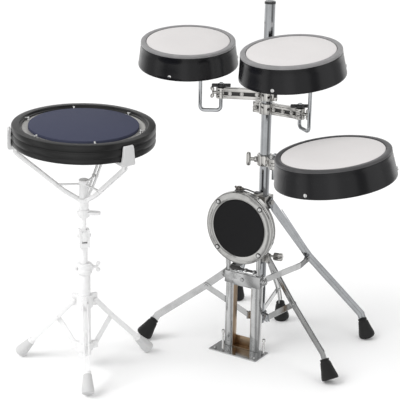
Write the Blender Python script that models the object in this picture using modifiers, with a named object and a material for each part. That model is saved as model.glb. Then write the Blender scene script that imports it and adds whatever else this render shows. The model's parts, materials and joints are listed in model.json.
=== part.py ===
"""Practice pad drum kit: three tom pads and a kick pad on a chrome rack, and a snare pad on its own stand.

Metres, +Z up. The player sits at -Y and looks along +Y. The origin is the middle of the underside of the
kick tower's base plate, on the floor.
"""
import math

import bmesh
import bpy
from mathutils import Matrix, Vector

# Clearance between touching pieces, and how far a welded or screwed-in detail sinks in its carrier
SLIP = 0.0003
SINK = 0.0010

# Post
POST_X = 0.006
POST_Y = 0.0925
POST_RADIUS = 0.0127
POST_WALL = 0.0016
POST_BOTTOM = 0.050
POST_TOP = 0.857

# Flat bars, pins and forks
BAR_WIDTH = 0.018
BRACE_WIDTH = 0.014
BAR_THICKNESS = 0.003
PIN_RADIUS = 0.003
PIN_HEAD = 0.001
CHEEK = 0.0025
CHEEK_LIP = 0.006
RIVET_HEIGHT = 0.0022
RIVET_RADIUS = 0.0046

# Tripod under the post: plan direction in degrees, elbow radius and height, sole radius, boot lean
COLLAR_WALL = 0.0046
COLLAR_CLEARANCE = 0.0008
HUB_HEIGHT = 0.024
HUB_PIVOT_Z = 0.2285
BRACE_COLLAR_HEIGHT = 0.018
BRACE_PIVOT_Z = 0.069
TRIPOD = {
    "left": (213.0, 0.137, 0.146, 0.2925, 33.0),
    "right": (335.0, 0.137, 0.145, 0.2925, 33.0),
    "rear": (97.0, 0.125, 0.094, 0.152, 15.0),
}
HUB_SCREW_DIRECTION = 15.0

# Wing screws: stem length, span of the ears, their depth and thickness
HUB_WING = (0.020, 0.021, 0.016, 0.005)
KICK_WING = (0.005, 0.026, 0.007, 0.004)
TOM_WING = (0.007, 0.024, 0.010, 0.004)
ARM_WING = (0.004, 0.026, 0.009, 0.005)
SIDE_WING = (0.014, 0.026, 0.013, 0.005)
STAND_WING = (0.009, 0.024, 0.012, 0.005)

# Rubber boots
BOOT_LENGTH = 0.050
BOOT_NECK_RADIUS = 0.0115
BOOT_SHOULDER_RADIUS = 0.0135
BOOT_RADIUS = 0.0205
ANKLE_LENGTH = 0.014

# Kick tower and its base plate
PLATE_WIDTH = 0.134
PLATE_DEPTH = 0.062
PLATE_THICKNESS = 0.003
PLATE_BOLT_RADIUS = 0.005
PLATE_BOLT_HEIGHT = 0.004
PLATE_BOLTS = ((-0.0565, -0.017), (0.0565, -0.017), (-0.0565, 0.022))
TOWER_WIDTH = 0.094
TOWER_FRONT_Y = 0.0125
TOWER_SHEET = 0.0025
TOWER_FLANGE = 0.019
TOWER_SHOULDER = 0.205
TOWER_TOP = 0.272
HORN_WIDTH = 0.011
WINDOW_WIDTH = 0.050
WINDOW_BOTTOM = 0.031
WINDOW_TOP = 0.168
CROSSBAR_BOTTOM = 0.172
CROSSBAR_TOP = 0.202
CROSSBAR_SHEET = 0.003
PIVOT_BOLT_Y = 0.0205
PIVOT_BOLT_Z = 0.190
PIVOT_BOLT_RADIUS = 0.004
PIVOT_BOSS = 0.003
PIVOT_HEAD_RADIUS = 0.0085
PIVOT_HEAD_HEIGHT = 0.0055
SPUR_RADIUS = 0.0028
SPUR_HEAD_RADIUS = 0.0042
SPUR_TIP_Z = 0.001
SPURS = {"left": (-0.036, -0.014, 0.055), "right": (0.060, 0.022, 0.040)}

# Kick pad, facing the player
KICK_Z = 0.326
KICK_FRONT_Y = -0.0155
KICK_DISC_RADIUS = 0.070
KICK_RIM_RADIUS = 0.0905
KICK_RIM_DEPTH = 0.012
KICK_RIM_SHEET = 0.0028
KICK_DISC_GAP = 0.0012
KICK_DISC_FLANGE = 0.008
KICK_SHELL_WALL = 0.002
KICK_SCREW_CIRCLE = 0.0795
KICK_SCREW_RADIUS = 0.0042

# Rear stays of the kick unit, on a bracket that is turned a little on the post
KICK_TURN = -5.0
BRACKET_Z = 0.368
BRACKET_HEIGHT = 0.034
BRACKET_WIDTH = 0.032
BRACKET_DEPTH = 0.036
STAY_SIDES = {"right": 1.0, "left": -1.0}
STAY_PIVOT_Y = 0.005
STAY_WIDTH = 0.019
STAY_THICKNESS = 0.0035
STAY_TAIL = 0.010
STAY_GAP = 0.0008
STAY_FOLD_Y = 0.013
STAY_CLIP = 0.0967
STAY_CLIP_Z = 0.2235
STAY_SOLE = (0.206, 0.1878)
STAY_BOOT_LEAN = 18.0
CLIP_REACHES = {"right": 0.018, "left": 0.026}
CLIP_HEIGHT = 0.018
CLIP_SHEET = 0.003
CLIP_Z = 0.2215
STRAP_WIDTH = 0.015
STRAP_THICKNESS = 0.003
STRAP_TAIL = 0.0075
STRAP_KNEES = {"right": (0.0825, 0.0567, 0.2075), "left": (0.0690, 0.0470, 0.2140)}
STRAP_RETURN_Y = {"right": 0.110, "left": 0.130}
STRAP_GAP = 0.0008

# Flat bar from the stay bracket to the top of the kick pad, drawn as distances from the post
KICK_BAR_TURN = -97.3
KICK_BAR_WIDTH = 0.016
KICK_BAR_THICKNESS = 0.0025
KICK_BAR_Z = 0.396
KICK_BAR_TAIL = 0.0185
KICK_BAR_FOOT = 0.031
KICK_BAR_RISE = 0.079
KICK_BAR_END = 0.1065
NECK_WIDTH = 0.012
NECK_REACH = 0.034

# Tom pads: top centre, diameter of the rim ring, lean in degrees, the direction it leans to and
# the direction of one of its side screws
SKIRT_HEIGHT = 0.060
SKIRT_FLARE = 0.007
SKIRT_WALL = 0.0035
RIM_WIDTH = 0.0125
RIM_HEIGHT = 0.0055
DISC_GAP = 0.0012
DISC_DROP = 0.0008
TOP_PLATE = 0.004
TOMS = {
    "left": ((-0.2017, 0.0627, 0.7474), 0.2304, 10.2, -62.6, -78.0),
    "right": ((0.1246, -0.0165, 0.7701), 0.2304, 10.25, -91.0, -82.0),
    "side": ((0.2995, -0.1383, 0.5885), 0.2500, 8.7, -135.5, -91.0),
}
TOM_SCREWS = 3
TOM_SCREW_RADIUS = 0.0032
TOM_SCREW_HEIGHT = 0.009
TOM_BRACKET_WIDTH = 0.022
TOM_CHEEK = 0.003

# Tom arms: height, plan direction, distance from the post to the rod, tail past the post
ARM_HEIGHT = 0.026
ARM_HALF_WIDTH = 0.0085
ARM_POST_WALL = 0.0068
ARM_END_RADIUS = 0.0125
ARMS = {
    "left": (0.634, 204.0, 0.111, 0.025),
    "right": (0.602, 357.5, 0.092, 0.035),
}
LEVER_TURN = 36.0
LEVER_SPAN = 0.046
LEVER_HEIGHT = 0.009
LEVER_THICKNESS = 0.006
LEVER_HUB_RADIUS = 0.0095

# L rods: where the upright under each pad stands in plan, and the height of the level run
ROD_RADIUS = 0.0045
ROD_BEND = 0.0105
ROD_STUB = 0.012
RODS = {
    "left": (-0.1385, 0.0225, 0.5905),
    "right": (0.1378, 0.0600, 0.5690),
    "side": (0.2445, -0.0950, 0.4980),
}
KNUCKLE_RADIUS = 0.009
KNUCKLE_WIDTH = 0.013
KNUCKLE_PIN = 0.003
KNUCKLE_DROP = 0.046

# Clamp for the side tom
SIDE_CLAMP_Z = 0.474
SIDE_CLAMP_HEIGHT = 0.026
SIDE_CLAMP_DIRECTION = -30.0
SIDE_CLAMP_REACH = 0.042
SIDE_CLAMP_TAIL = 0.022
SIDE_ROD_HANG = 0.026
SIDE_KNOB_DIRECTION = 204.0

# Snare pad
SNARE_LEAN = 3.9
SNARE_LEAN_TO = -42.0
SNARE_RISE = 0.2734
SNARE_HOOP_RADIUS = 0.1625
SNARE_HOOP_WALL = 0.0185
SNARE_HOOP_INNER = SNARE_HOOP_RADIUS - SNARE_HOOP_WALL
SNARE_HOOP_HEIGHT = 0.044
SNARE_GROOVES = 2
SNARE_GROOVE_DEPTH = 0.0018
SNARE_PLATE_DROP = 0.009
SNARE_PLATE_THICKNESS = 0.006
SNARE_DISC_INSET = 0.0195
SNARE_DISC_RADIUS = SNARE_HOOP_INNER - SNARE_DISC_INSET
SNARE_DISC_THICKNESS = 0.004
SNARE_LUG_INSET = 0.0105
SNARE_LUG_CIRCLE = SNARE_HOOP_INNER - SNARE_LUG_INSET
SNARE_LUG_RADIUS = 0.0042
SNARE_LUGS = 6

# Snare stand
STAND_X = -0.260
STAND_Y = -0.2795
STAND_TUBE_RADIUS = 0.014
STAND_TUBE_WALL = 0.002
STAND_TUBE_BOTTOM = 0.030
STAND_TUBE_TOP = 0.262
STAND_CLAMP_BOTTOM = 0.240
STAND_CLAMP_RADIUS = 0.0185
STAND_ROD_RADIUS = 0.0085
STAND_ROD_BOTTOM = 0.110
STAND_HUB_HEIGHT = 0.030
STAND_HUB_Z = 0.168
STAND_COLLAR_HEIGHT = 0.018
STAND_COLLAR_Z = 0.052
STAND_BAR_WIDTH = 0.012
STAND_BAR_THICKNESS = 0.0025
STAND_BAR_SPREAD = 0.011
STAND_ELBOW = (0.070, 0.118)
STAND_SOLE_RADIUS = 0.172
STAND_FOOT_LEAN = 42.0
STAND_FOOT_SIZES = (0.046, 0.0095, 0.0105, 0.0145)
STAND_DIRECTIONS = {"left": 196.0, "right": 63.0, "front": 310.0}
TILTER_Z = 0.330
TILTER_RADIUS = 0.016
TILTER_TONGUE = 0.012
TILTER_CHEEK = 0.006
TILTER_PIN = 0.004
BASKET_TUBE_RADIUS = 0.0058
BASKET_NUT_RADIUS = 0.013
BASKET_NUT_BOTTOM = 0.048
BASKET_HUB_BOTTOM = 0.068
BASKET_HUB_TOP = 0.140
BASKET_HUB_RADIUS = 0.011
BASKET_ARM_START = 0.085
BASKET_ARM_TURNS = (25.0, 145.0, 265.0)
BASKET_ARM_THICKNESS = 0.005
BASKET_ARM_WIDTH = 0.012
BASKET_TIP_WIDTH = 0.020
BASKET_TIP_LIP = 0.014
BASKET_TIP_WALL = 0.006

# Facets round a circle
FINE = 32
MEDIUM = 16
COARSE = 10


# Sizes that follow from the ones above

POST_BORE = POST_RADIUS + SLIP
COLLAR_RADIUS = POST_BORE + COLLAR_WALL
PIVOT_RADIUS = COLLAR_RADIUS + COLLAR_CLEARANCE + BAR_WIDTH / 2.0
BAR_GAP = BAR_THICKNESS + 2.0 * SLIP
BRACE_OFFSET = BAR_THICKNESS + SLIP
KICK_SHELL_RADIUS = KICK_RIM_RADIUS - 0.002 - SLIP
CROSSBAR_HALF = TOWER_WIDTH / 2.0 + CROSSBAR_SHEET
STRAP_X = CROSSBAR_HALF + PIVOT_BOSS + SLIP + STRAP_THICKNESS / 2.0
STAY_X = BRACKET_WIDTH / 2.0 + STAY_GAP + STAY_THICKNESS / 2.0
STAND_BORE = STAND_TUBE_RADIUS + SLIP
STAND_COLLAR_RADIUS = STAND_BORE + COLLAR_WALL
STAND_PIVOT_RADIUS = STAND_COLLAR_RADIUS + COLLAR_CLEARANCE + STAND_BAR_WIDTH / 2.0
UNDER_TOP = RIM_HEIGHT + SLIP + TOP_PLATE
FORK_PIN_HALF = BAR_GAP / 2.0 + CHEEK + PIN_HEAD
TRIPOD_DIRECTIONS = [leg[0] for leg in TRIPOD.values()]

for old in list(bpy.data.objects):
    bpy.data.objects.remove(old, do_unlink=True)

parts = bpy.data.collections.new("practice_pad_drum_kit")
cutters = bpy.data.collections.new("cutters")
bpy.context.scene.collection.children.link(parts)
bpy.context.scene.collection.children.link(cutters)


def material(name, colour, roughness, metallic=0.0):
    made = bpy.data.materials.new(name)
    made.use_nodes = True
    shader = made.node_tree.nodes["Principled BSDF"]
    shader.inputs["Base Color"].default_value = (*colour, 1.0)
    shader.inputs["Roughness"].default_value = roughness
    shader.inputs["Metallic"].default_value = metallic
    made.diffuse_color = (*colour, 1.0)
    return made


CHROME = material("chrome", (0.80, 0.81, 0.82), 0.12, 1.0)
BLACK_PLASTIC = material("black_plastic", (0.022, 0.022, 0.024), 0.38)
RIM_GREY = material("rim_grey", (0.52, 0.52, 0.53), 0.40)
PAD_WHITE = material("pad_white", (0.80, 0.79, 0.78), 0.65)
BLACK_RUBBER = material("black_rubber", (0.016, 0.016, 0.017), 0.75)
NAVY_RUBBER = material("navy_rubber", (0.060, 0.070, 0.120), 0.70)
PALE_METAL = material("pale_metal", (0.88, 0.88, 0.88), 0.35)


# Bodies and objects

def polar(radius, degrees, height=0.0):
    angle = math.radians(degrees)
    return Vector((radius * math.cos(angle), radius * math.sin(angle), height))


def frame(origin, x_axis, y_axis):
    """A placement whose local X and Y lie along two perpendicular world directions."""
    x_axis = Vector(x_axis).normalized()
    y_axis = Vector(y_axis).normalized()
    turned_axes = Matrix((x_axis, y_axis, x_axis.cross(y_axis))).transposed().to_4x4()
    return Matrix.Translation(origin) @ turned_axes


def upright(origin, degrees=0.0):
    return Matrix.Translation(origin) @ Matrix.Rotation(math.radians(degrees), 4, "Z")


def body(name, origin):
    """An empty on a joint's axis, which the pieces of one moving body hang from."""
    empty = bpy.data.objects.new(name, None)
    empty.empty_display_size = 0.02
    empty.location = origin
    parts.objects.link(empty)
    return empty


def add_object(name, mesh, finish, carrier, place, collection=None):
    made = bpy.data.objects.new(name, mesh)
    (collection or parts).objects.link(made)
    made.parent = carrier
    made.matrix_basis = Matrix.Translation(-carrier.location) @ place
    mesh.materials.clear()
    mesh.materials.append(finish)
    mesh.shade_smooth()
    mesh.set_sharp_from_angle(angle=math.radians(35.0))
    if collection is cutters:
        made.hide_render = True
        made.display_type = "WIRE"
    return made


def apply_boolean(target, tool, operation):
    step = target.modifiers.new(operation.lower(), "BOOLEAN")
    step.operation = operation
    step.object = tool
    step.solver = "EXACT"


# Shapes

def arc(centre, radius, start, end, steps):
    """Points of an arc, with angles in degrees."""
    points = []
    for step in range(steps + 1):
        angle = math.radians(start + (end - start) * step / steps)
        points.append((centre[0] + radius * math.cos(angle), centre[1] + radius * math.sin(angle)))
    return points


def circle(centre, radius, steps=COARSE):
    return arc(centre, radius, 0.0, 360.0, steps)[:-1]


def box(bm, size, centre, turn=None):
    place = Matrix.Translation(centre) @ (turn or Matrix.Identity(4)) @ Matrix.Diagonal((*size, 1.0))
    bmesh.ops.create_cube(bm, size=1.0, matrix=place)


def cylinder(bm, start, end, radius, end_radius=None, segments=COARSE):
    start, end = Vector(start), Vector(end)
    along = end - start
    place = Matrix.Translation((start + end) / 2.0) @ along.to_track_quat("Z", "Y").to_matrix().to_4x4()
    bmesh.ops.create_cone(bm, cap_ends=True, segments=segments, radius1=radius,
                          radius2=radius if end_radius is None else end_radius,
                          depth=along.length, matrix=place)


def finish_mesh(name, bm):
    mesh = bpy.data.meshes.new(name)
    bm.to_mesh(mesh)
    bm.free()
    return mesh


def turned(name, profile, closed, finish, carrier, place, segments=MEDIUM, collection=None):
    """A profile of (radius, height) points turned about local Z."""
    bm = bmesh.new()
    corners = [bm.verts.new((radius, 0.0, height)) for radius, height in profile]
    for first, second in zip(corners, corners[1:] + (corners[:1] if closed else [])):
        bm.edges.new((first, second))
    made = add_object(name, finish_mesh(name, bm), finish, carrier, place, collection)
    screw = made.modifiers.new("turn", "SCREW")
    screw.axis = "Z"
    screw.angle = math.tau
    screw.steps = screw.render_steps = segments
    screw.use_merge_vertices = True
    screw.merge_threshold = 0.00005
    screw.use_smooth_shade = True
    return made


def curve_mesh(curve):
    """The mesh of a curve, with its caps welded on."""
    holder = bpy.data.objects.new(curve.name, curve)
    parts.objects.link(holder)
    bpy.context.view_layer.update()
    evaluated = holder.evaluated_get(bpy.context.evaluated_depsgraph_get())
    mesh = bpy.data.meshes.new_from_object(evaluated)
    bpy.data.objects.remove(holder, do_unlink=True)
    bpy.data.curves.remove(curve)
    bm = bmesh.new()
    bm.from_mesh(mesh)
    bmesh.ops.remove_doubles(bm, verts=bm.verts, dist=0.00002)
    bmesh.ops.recalc_face_normals(bm, faces=bm.faces)
    bm.to_mesh(mesh)
    bm.free()
    return mesh


def plate_mesh(name, outlines, thickness):
    """A flat sheet in local XY: the first outline is its edge and the others are holes."""
    curve = bpy.data.curves.new(name, "CURVE")
    curve.dimensions = "2D"
    curve.fill_mode = "BOTH"
    curve.extrude = thickness / 2.0
    for outline in outlines:
        spline = curve.splines.new("POLY")
        spline.points.add(len(outline) - 1)
        for point, (x, y) in zip(spline.points, outline):
            point.co = (x, y, 0.0, 1.0)
        spline.use_cyclic_u = True
    return curve_mesh(curve)


def rod_mesh(name, points, radius, resolution=3):
    curve = bpy.data.curves.new(name, "CURVE")
    curve.dimensions = "3D"
    curve.fill_mode = "FULL"
    curve.bevel_depth = radius
    curve.bevel_resolution = resolution
    curve.use_fill_caps = True
    spline = curve.splines.new("POLY")
    spline.points.add(len(points) - 1)
    for point, place in zip(spline.points, points):
        point.co = (*place, 1.0)
    return curve_mesh(curve)


def fillet(points, radius, steps=4):
    """A polyline with its inner corners rounded."""
    rounded = [Vector(points[0])]
    for before, corner, after in zip(points, points[1:], points[2:]):
        corner = Vector(corner)
        back = (Vector(before) - corner).normalized()
        ahead = (Vector(after) - corner).normalized()
        half = back.angle(ahead) / 2.0
        reach = radius / math.tan(half)
        centre = corner + (back + ahead).normalized() * (radius / math.sin(half))
        start = (corner + back * reach - centre).normalized()
        end = (corner + ahead * reach - centre).normalized()
        for step in range(steps + 1):
            rounded.append(centre + start.slerp(end, step / steps) * radius)
    rounded.append(Vector(points[-1]))
    return rounded


def strip_edges(points, width):
    """The two edges of a flat strip that follows a line of 2D points."""
    points = [Vector(point) for point in points]
    left, right = [], []
    for index, point in enumerate(points):
        before = (point - points[index - 1]).normalized() if index else None
        after = (points[index + 1] - point).normalized() if index + 1 < len(points) else None
        along = ((before or after) + (after or before)).normalized()
        square = Vector((-along.y, along.x))
        stretch = 1.0 / max(0.5, along.dot(after or before))
        left.append(point + square * (width / 2.0 * stretch))
        right.append(point - square * (width / 2.0 * stretch))
    return left, right


def strip_outline(points, width, round_start=False, round_end=False, steps=6):
    """The outline of a flat bar along 2D points, with round or square ends."""
    left, right = strip_edges(points, width)
    outline = [tuple(point) for point in right]
    if round_end:
        end, before = Vector(points[-1]), Vector(points[-2])
        heading = math.degrees(math.atan2(*(end - before).yx))
        outline += arc(end, width / 2.0, heading - 90.0, heading + 90.0, steps)[1:-1]
    outline += [tuple(point) for point in reversed(left)]
    if round_start:
        start, after = Vector(points[0]), Vector(points[1])
        heading = math.degrees(math.atan2(*(start - after).yx))
        outline += arc(start, width / 2.0, heading - 90.0, heading + 90.0, steps)[1:-1]
    return outline


def folded_strip_mesh(name, centre_line, width, plan):
    """A vertical sheet: a strip drawn in (distance, height), folded in plan along a path of (x, y) points."""
    lengths = [0.0]
    for first, second in zip(plan, plan[1:]):
        lengths.append(lengths[-1] + (Vector(second) - Vector(first)).length)

    def in_plan(distance):
        for index in range(len(plan) - 1):
            if distance <= lengths[index + 1] or index == len(plan) - 2:
                share = (distance - lengths[index]) / (lengths[index + 1] - lengths[index])
                return Vector(plan[index]).lerp(Vector(plan[index + 1]), share)

    folds = lengths[1:-1]
    line = [Vector(centre_line[0])]
    for first, second in zip(centre_line, centre_line[1:]):
        first, second = Vector(first), Vector(second)
        stops = [(fold - first.x) / (second.x - first.x) for fold in folds if first.x < fold < second.x - SLIP]
        line += [first.lerp(second, stop) for stop in stops + [1.0]]
    left, right = strip_edges(line, width)
    bm = bmesh.new()
    rows = []
    for index, (high, low) in enumerate(zip(left, right)):
        point = line[index]
        if any(abs(point.x - fold) < SLIP for fold in folds):
            slope = (line[index + 1] - point).normalized() + (point - line[index - 1]).normalized()
            half = width / 2.0 * slope.length / slope.x
            high, low = point + Vector((0.0, half)), point - Vector((0.0, half))
        rows.append([bm.verts.new((*in_plan(edge.x), edge.y)) for edge in (high, low)])
    for first, second in zip(rows, rows[1:]):
        bm.faces.new((first[0], first[1], second[1], second[0]))
    return finish_mesh(name, bm)


def add_thickness(made, thickness):
    shell = made.modifiers.new("sheet", "SOLIDIFY")
    shell.thickness = thickness
    shell.offset = 0.0
    shell.use_even_offset = True


def cylinders_mesh(name, runs, segments=COARSE):
    """Separate pins, screws or heads, each a start, an end, a radius and perhaps an end radius."""
    bm = bmesh.new()
    for start, end, radius, *rest in runs:
        cylinder(bm, start, end, radius, *rest, segments=segments)
    return finish_mesh(name, bm)


def place_of(made):
    """Where an object stands in the world."""
    return Matrix.Translation(made.parent.location) @ made.matrix_basis


def join(target, name, mesh, place, operation="UNION"):
    """Weld a shape to an object, or cut it out of one."""
    tool = add_object(name, mesh, target.data.materials[0], target.parent, place, cutters)
    apply_boolean(target, tool, operation)


def wing_mesh(stem, span, depth, thickness, stem_width=0.006):
    """A flat wing screw: its foot is at the origin, its stem runs along Y and its ears along X."""
    half, tip, edge = stem_width / 2.0, span / 2.0, stem + depth
    low, neck, saddle = stem + 0.1 * depth, stem + 0.4 * depth, stem + 0.6 * depth
    outline = [(-half, 0.0), (half, 0.0), (half, stem), (0.8 * tip, low), (tip, neck), (tip, edge),
               (0.6 * tip, edge), (half, saddle), (-half, saddle), (-0.6 * tip, edge), (-tip, edge),
               (-tip, neck), (-0.8 * tip, low), (-half, stem)]
    return plate_mesh("wing", [outline], thickness)


# Feet and tripods

def boot_profile(sizes):
    """Profile of a rubber boot from its neck at height 0 down to its sole."""
    length, neck, shoulder, base = sizes
    return [(0.0, -SLIP), (neck, -SLIP), (shoulder, -0.12 * length), (base * 0.97, -0.86 * length),
            (base, -0.93 * length), (base * 0.94, -length), (0.0, -length)]


def ankle_of(sole_distance, sizes, lean):
    """Distance and height of a boot's neck, for a sole whose lowest edge just touches the floor."""
    length, base = sizes[0], sizes[3]
    angle = math.radians(lean)
    drop = 0.94 * base * math.sin(angle)
    return Vector((sole_distance - length * math.sin(angle), drop + length * math.cos(angle)))


def leg_line(points, ankle, lean):
    """The line of a leg: its own points, then a short bend into the boot."""
    angle = math.radians(lean)
    bend = ankle + ANKLE_LENGTH * Vector((-math.sin(angle), math.cos(angle)))
    return [*[Vector(point) for point in points], bend, ankle]


def add_boot(name, neck, direction, lean, sizes, finish, carrier, collection=None):
    place = upright(neck, direction) @ Matrix.Rotation(math.radians(-lean), 4, "Y")
    return turned(name, boot_profile(sizes), False, finish, carrier, place, 16, collection)


def radial_frame(axis, degrees, radius, height, across=0.0):
    """Local X points away from an upright axis and local Y points up."""
    outward = polar(1.0, degrees)
    origin = Vector(axis) + outward * radius + up * height + up.cross(outward) * across
    return frame(origin, outward, up)


def lug_outline(ring_radius, reach, directions, lugs):
    """Plan of a ring with lugs in each direction, each lug a pair of offsets to the side."""
    edge_angles = [math.degrees(math.asin(offset / ring_radius)) for offset in (lugs[0][0], lugs[-1][1])]
    ordered = sorted(direction % 360.0 for direction in directions)
    outline = []
    for index, direction in enumerate(ordered):
        turn = Matrix.Rotation(math.radians(direction), 2)
        for low, high in lugs:
            feet = [math.sqrt(ring_radius ** 2 - offset ** 2) for offset in (low, high)]
            lug = [(feet[0], low), (reach, low), (reach, high), (feet[1], high)]
            outline += [tuple(turn @ Vector(point)) for point in lug]
        start = direction + edge_angles[1]
        following = ordered[(index + 1) % len(ordered)] + (360.0 if index == len(ordered) - 1 else 0.0)
        end = following + edge_angles[0]
        outline += arc((0.0, 0.0), ring_radius, start, end, max(2, round((end - start) / 20.0)))[1:-1]
    return outline


def fork_lugs(offset, gap):
    return [(offset - gap / 2.0 - CHEEK, offset - gap / 2.0),
            (offset + gap / 2.0, offset + gap / 2.0 + CHEEK)]


def lug_collar(name, centre, height, bore, ring, pivot, directions, lugs, pin_half, carrier, finish,
               collection=None):
    """A collar with lugs, and a pin across the lugs in each direction."""
    outline = lug_outline(ring, pivot + CHEEK_LIP, directions, lugs)
    mesh = plate_mesh(name, [outline, circle((0.0, 0.0), bore, MEDIUM)], height)
    place = Matrix.Translation(centre)
    collar = add_object(name, mesh, finish, carrier, place, collection)
    middle = (lugs[0][0] + lugs[-1][1]) / 2.0
    pins = []
    for direction in directions:
        across = polar(1.0, direction + 90.0)
        spot = polar(pivot, direction) + across * middle
        pins.append((spot - across * pin_half, spot + across * pin_half, PIN_RADIUS))
    join(collar, name + "_pins", cylinders_mesh("pins", pins), place)
    return collar


def swung_bar(mesh_name, line, pivot, width, thickness, round_end=False):
    """A flat bar with a round end and a pin hole at its pivot, drawn around the pivot."""
    local = [Vector(point) - Vector(pivot) for point in line]
    outline = strip_outline(local, width, round_start=True, round_end=round_end)
    return plate_mesh(mesh_name, [outline, circle((0.0, 0.0), PIN_RADIUS + SLIP)], thickness)


def arm_outline(reach, tail, ring, half, end_radius):
    """Plan of an arm: a ring round a post, a straight arm with a round end, and a square tail."""
    at_end = math.degrees(math.asin(half / end_radius))
    at_ring = math.degrees(math.asin(half / ring))
    outline = arc((reach, 0.0), end_radius, at_end - 180.0, 180.0 - at_end, 10)
    outline += arc((0.0, 0.0), ring, at_ring, 180.0 - at_ring, 6)
    outline += [(-tail, half), (-tail, -half)]
    outline += arc((0.0, 0.0), ring, 180.0 + at_ring, 360.0 - at_ring, 6)
    return outline


up = Vector((0.0, 0.0, 1.0))
post_axis = Vector((POST_X, POST_Y, 0.0))
stand_axis = Vector((STAND_X, STAND_Y, 0.0))
root = body("rack", (0.0, 0.0, 0.0))


# Post and tripod

def build_post():
    bore = POST_RADIUS - POST_WALL
    profile = [(POST_RADIUS, POST_TOP), (POST_RADIUS, POST_BOTTOM), (bore, POST_BOTTOM), (bore, POST_TOP)]
    post = turned("post_tube", profile, True, CHROME, root, upright(post_axis))
    collar = lug_collar("brace_collar", post_axis + up * BRACE_PIVOT_Z, BRACE_COLLAR_HEIGHT,
                        POST_RADIUS - POST_WALL / 2.0, COLLAR_RADIUS, PIVOT_RADIUS, TRIPOD_DIRECTIONS,
                        fork_lugs(BRACE_OFFSET, BAR_GAP), FORK_PIN_HALF, root, CHROME, cutters)
    apply_boolean(post, collar, "UNION")


def build_tripod():
    hub_centre = post_axis + up * HUB_PIVOT_Z
    hub = body("leg_hub_slide", hub_centre)
    lug_collar("leg_hub", hub_centre, HUB_HEIGHT, POST_BORE, COLLAR_RADIUS, PIVOT_RADIUS, TRIPOD_DIRECTIONS,
               fork_lugs(0.0, BAR_GAP), FORK_PIN_HALF, hub, CHROME)
    screw = body("hub_screw_turn", hub_centre)
    foot = hub_centre + polar(COLLAR_RADIUS + SLIP, HUB_SCREW_DIRECTION)
    add_object("hub_wing_screw", wing_mesh(*HUB_WING), CHROME, screw,
               frame(foot, up, polar(1.0, HUB_SCREW_DIRECTION)))
    for side, sizes in TRIPOD.items():
        build_rack_leg(side, *sizes)


def build_rack_leg(side, direction, elbow_radius, elbow_z, sole_radius, lean):
    """One flat leg with its boot, and the brace that runs beside it from the lower collar."""
    sizes = (BOOT_LENGTH, BOOT_NECK_RADIUS, BOOT_SHOULDER_RADIUS, BOOT_RADIUS)
    pivot, elbow = (PIVOT_RADIUS, HUB_PIVOT_Z), (elbow_radius, elbow_z)
    ankle = ankle_of(sole_radius, sizes, lean)
    hinge = radial_frame(post_axis, direction, *pivot)
    leg = body("leg_" + side, hinge.translation)
    mesh = swung_bar("leg", leg_line([pivot, elbow], ankle, lean), pivot, BAR_WIDTH, BAR_THICKNESS)
    bar = add_object("tripod_leg_" + side, mesh, CHROME, leg, hinge)
    add_rivet(bar, Vector(elbow) - Vector(pivot), BAR_THICKNESS / 2.0, 1.0)
    neck = post_axis + polar(ankle.x, direction, ankle.y)
    add_boot("tripod_boot_" + side, neck, direction, lean, sizes, BLACK_RUBBER, leg)
    foot = (PIVOT_RADIUS, BRACE_PIVOT_Z)
    hinge = radial_frame(post_axis, direction, *foot, BRACE_OFFSET)
    brace = body("brace_" + side, hinge.translation)
    mesh = swung_bar("brace", [foot, elbow], foot, BRACE_WIDTH, BAR_THICKNESS, round_end=True)
    bar = add_object("tripod_brace_" + side, mesh, CHROME, brace, hinge)
    add_rivet(bar, Vector(elbow) - Vector(foot), BAR_THICKNESS / 2.0, -1.0)


def add_rivet(bar, spot, face, way):
    """A rivet head on one face of a flat bar, where it crosses another bar."""
    start, end = Vector((*spot, way * (face - SINK))), Vector((*spot, way * (face + RIVET_HEIGHT)))
    mesh = cylinders_mesh("rivet", [(start, end, RIVET_RADIUS, RIVET_RADIUS * 0.7)])
    join(bar, bar.name + "_rivet", mesh, place_of(bar))


# Kick tower and kick pad

def build_base_plate():
    half_width, half_depth = PLATE_WIDTH / 2.0, PLATE_DEPTH / 2.0
    edge = [(-half_width, -half_depth), (half_width, -half_depth), (half_width, half_depth),
            (-half_width, half_depth)]
    holes = [circle((x, y), SPUR_RADIUS + SLIP) for x, y, _ in SPURS.values()]
    mesh = plate_mesh("base_plate", [edge, *holes], PLATE_THICKNESS)
    place = Matrix.Translation((0.0, 0.0, PLATE_THICKNESS / 2.0))
    plate = add_object("base_plate", mesh, CHROME, root, place)
    bolts = []
    for x, y in PLATE_BOLTS:
        spot = Vector((x, y, PLATE_THICKNESS - SINK))
        bolts.append((spot, spot + up * (PLATE_BOLT_HEIGHT + SINK), PLATE_BOLT_RADIUS,
                      PLATE_BOLT_RADIUS * 0.8))
    join(plate, "plate_bolts", cylinders_mesh("plate_bolts", bolts), Matrix.Identity(4))


def build_spurs():
    for side, (x, y, height) in SPURS.items():
        spur = body("spur_" + side, (x, y, 0.0))
        profile = [(0.0, height), (0.6 * SPUR_HEAD_RADIUS, height), (SPUR_HEAD_RADIUS, height - 0.002),
                   (SPUR_HEAD_RADIUS, height - 0.006), (SPUR_RADIUS, height - 0.008),
                   (SPUR_RADIUS, PLATE_THICKNESS), (0.0006, SPUR_TIP_Z), (0.0, SPUR_TIP_Z)]
        turned("floor_spur_" + side, profile, False, CHROME, spur, upright((x, y, 0.0)), COARSE)


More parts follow.
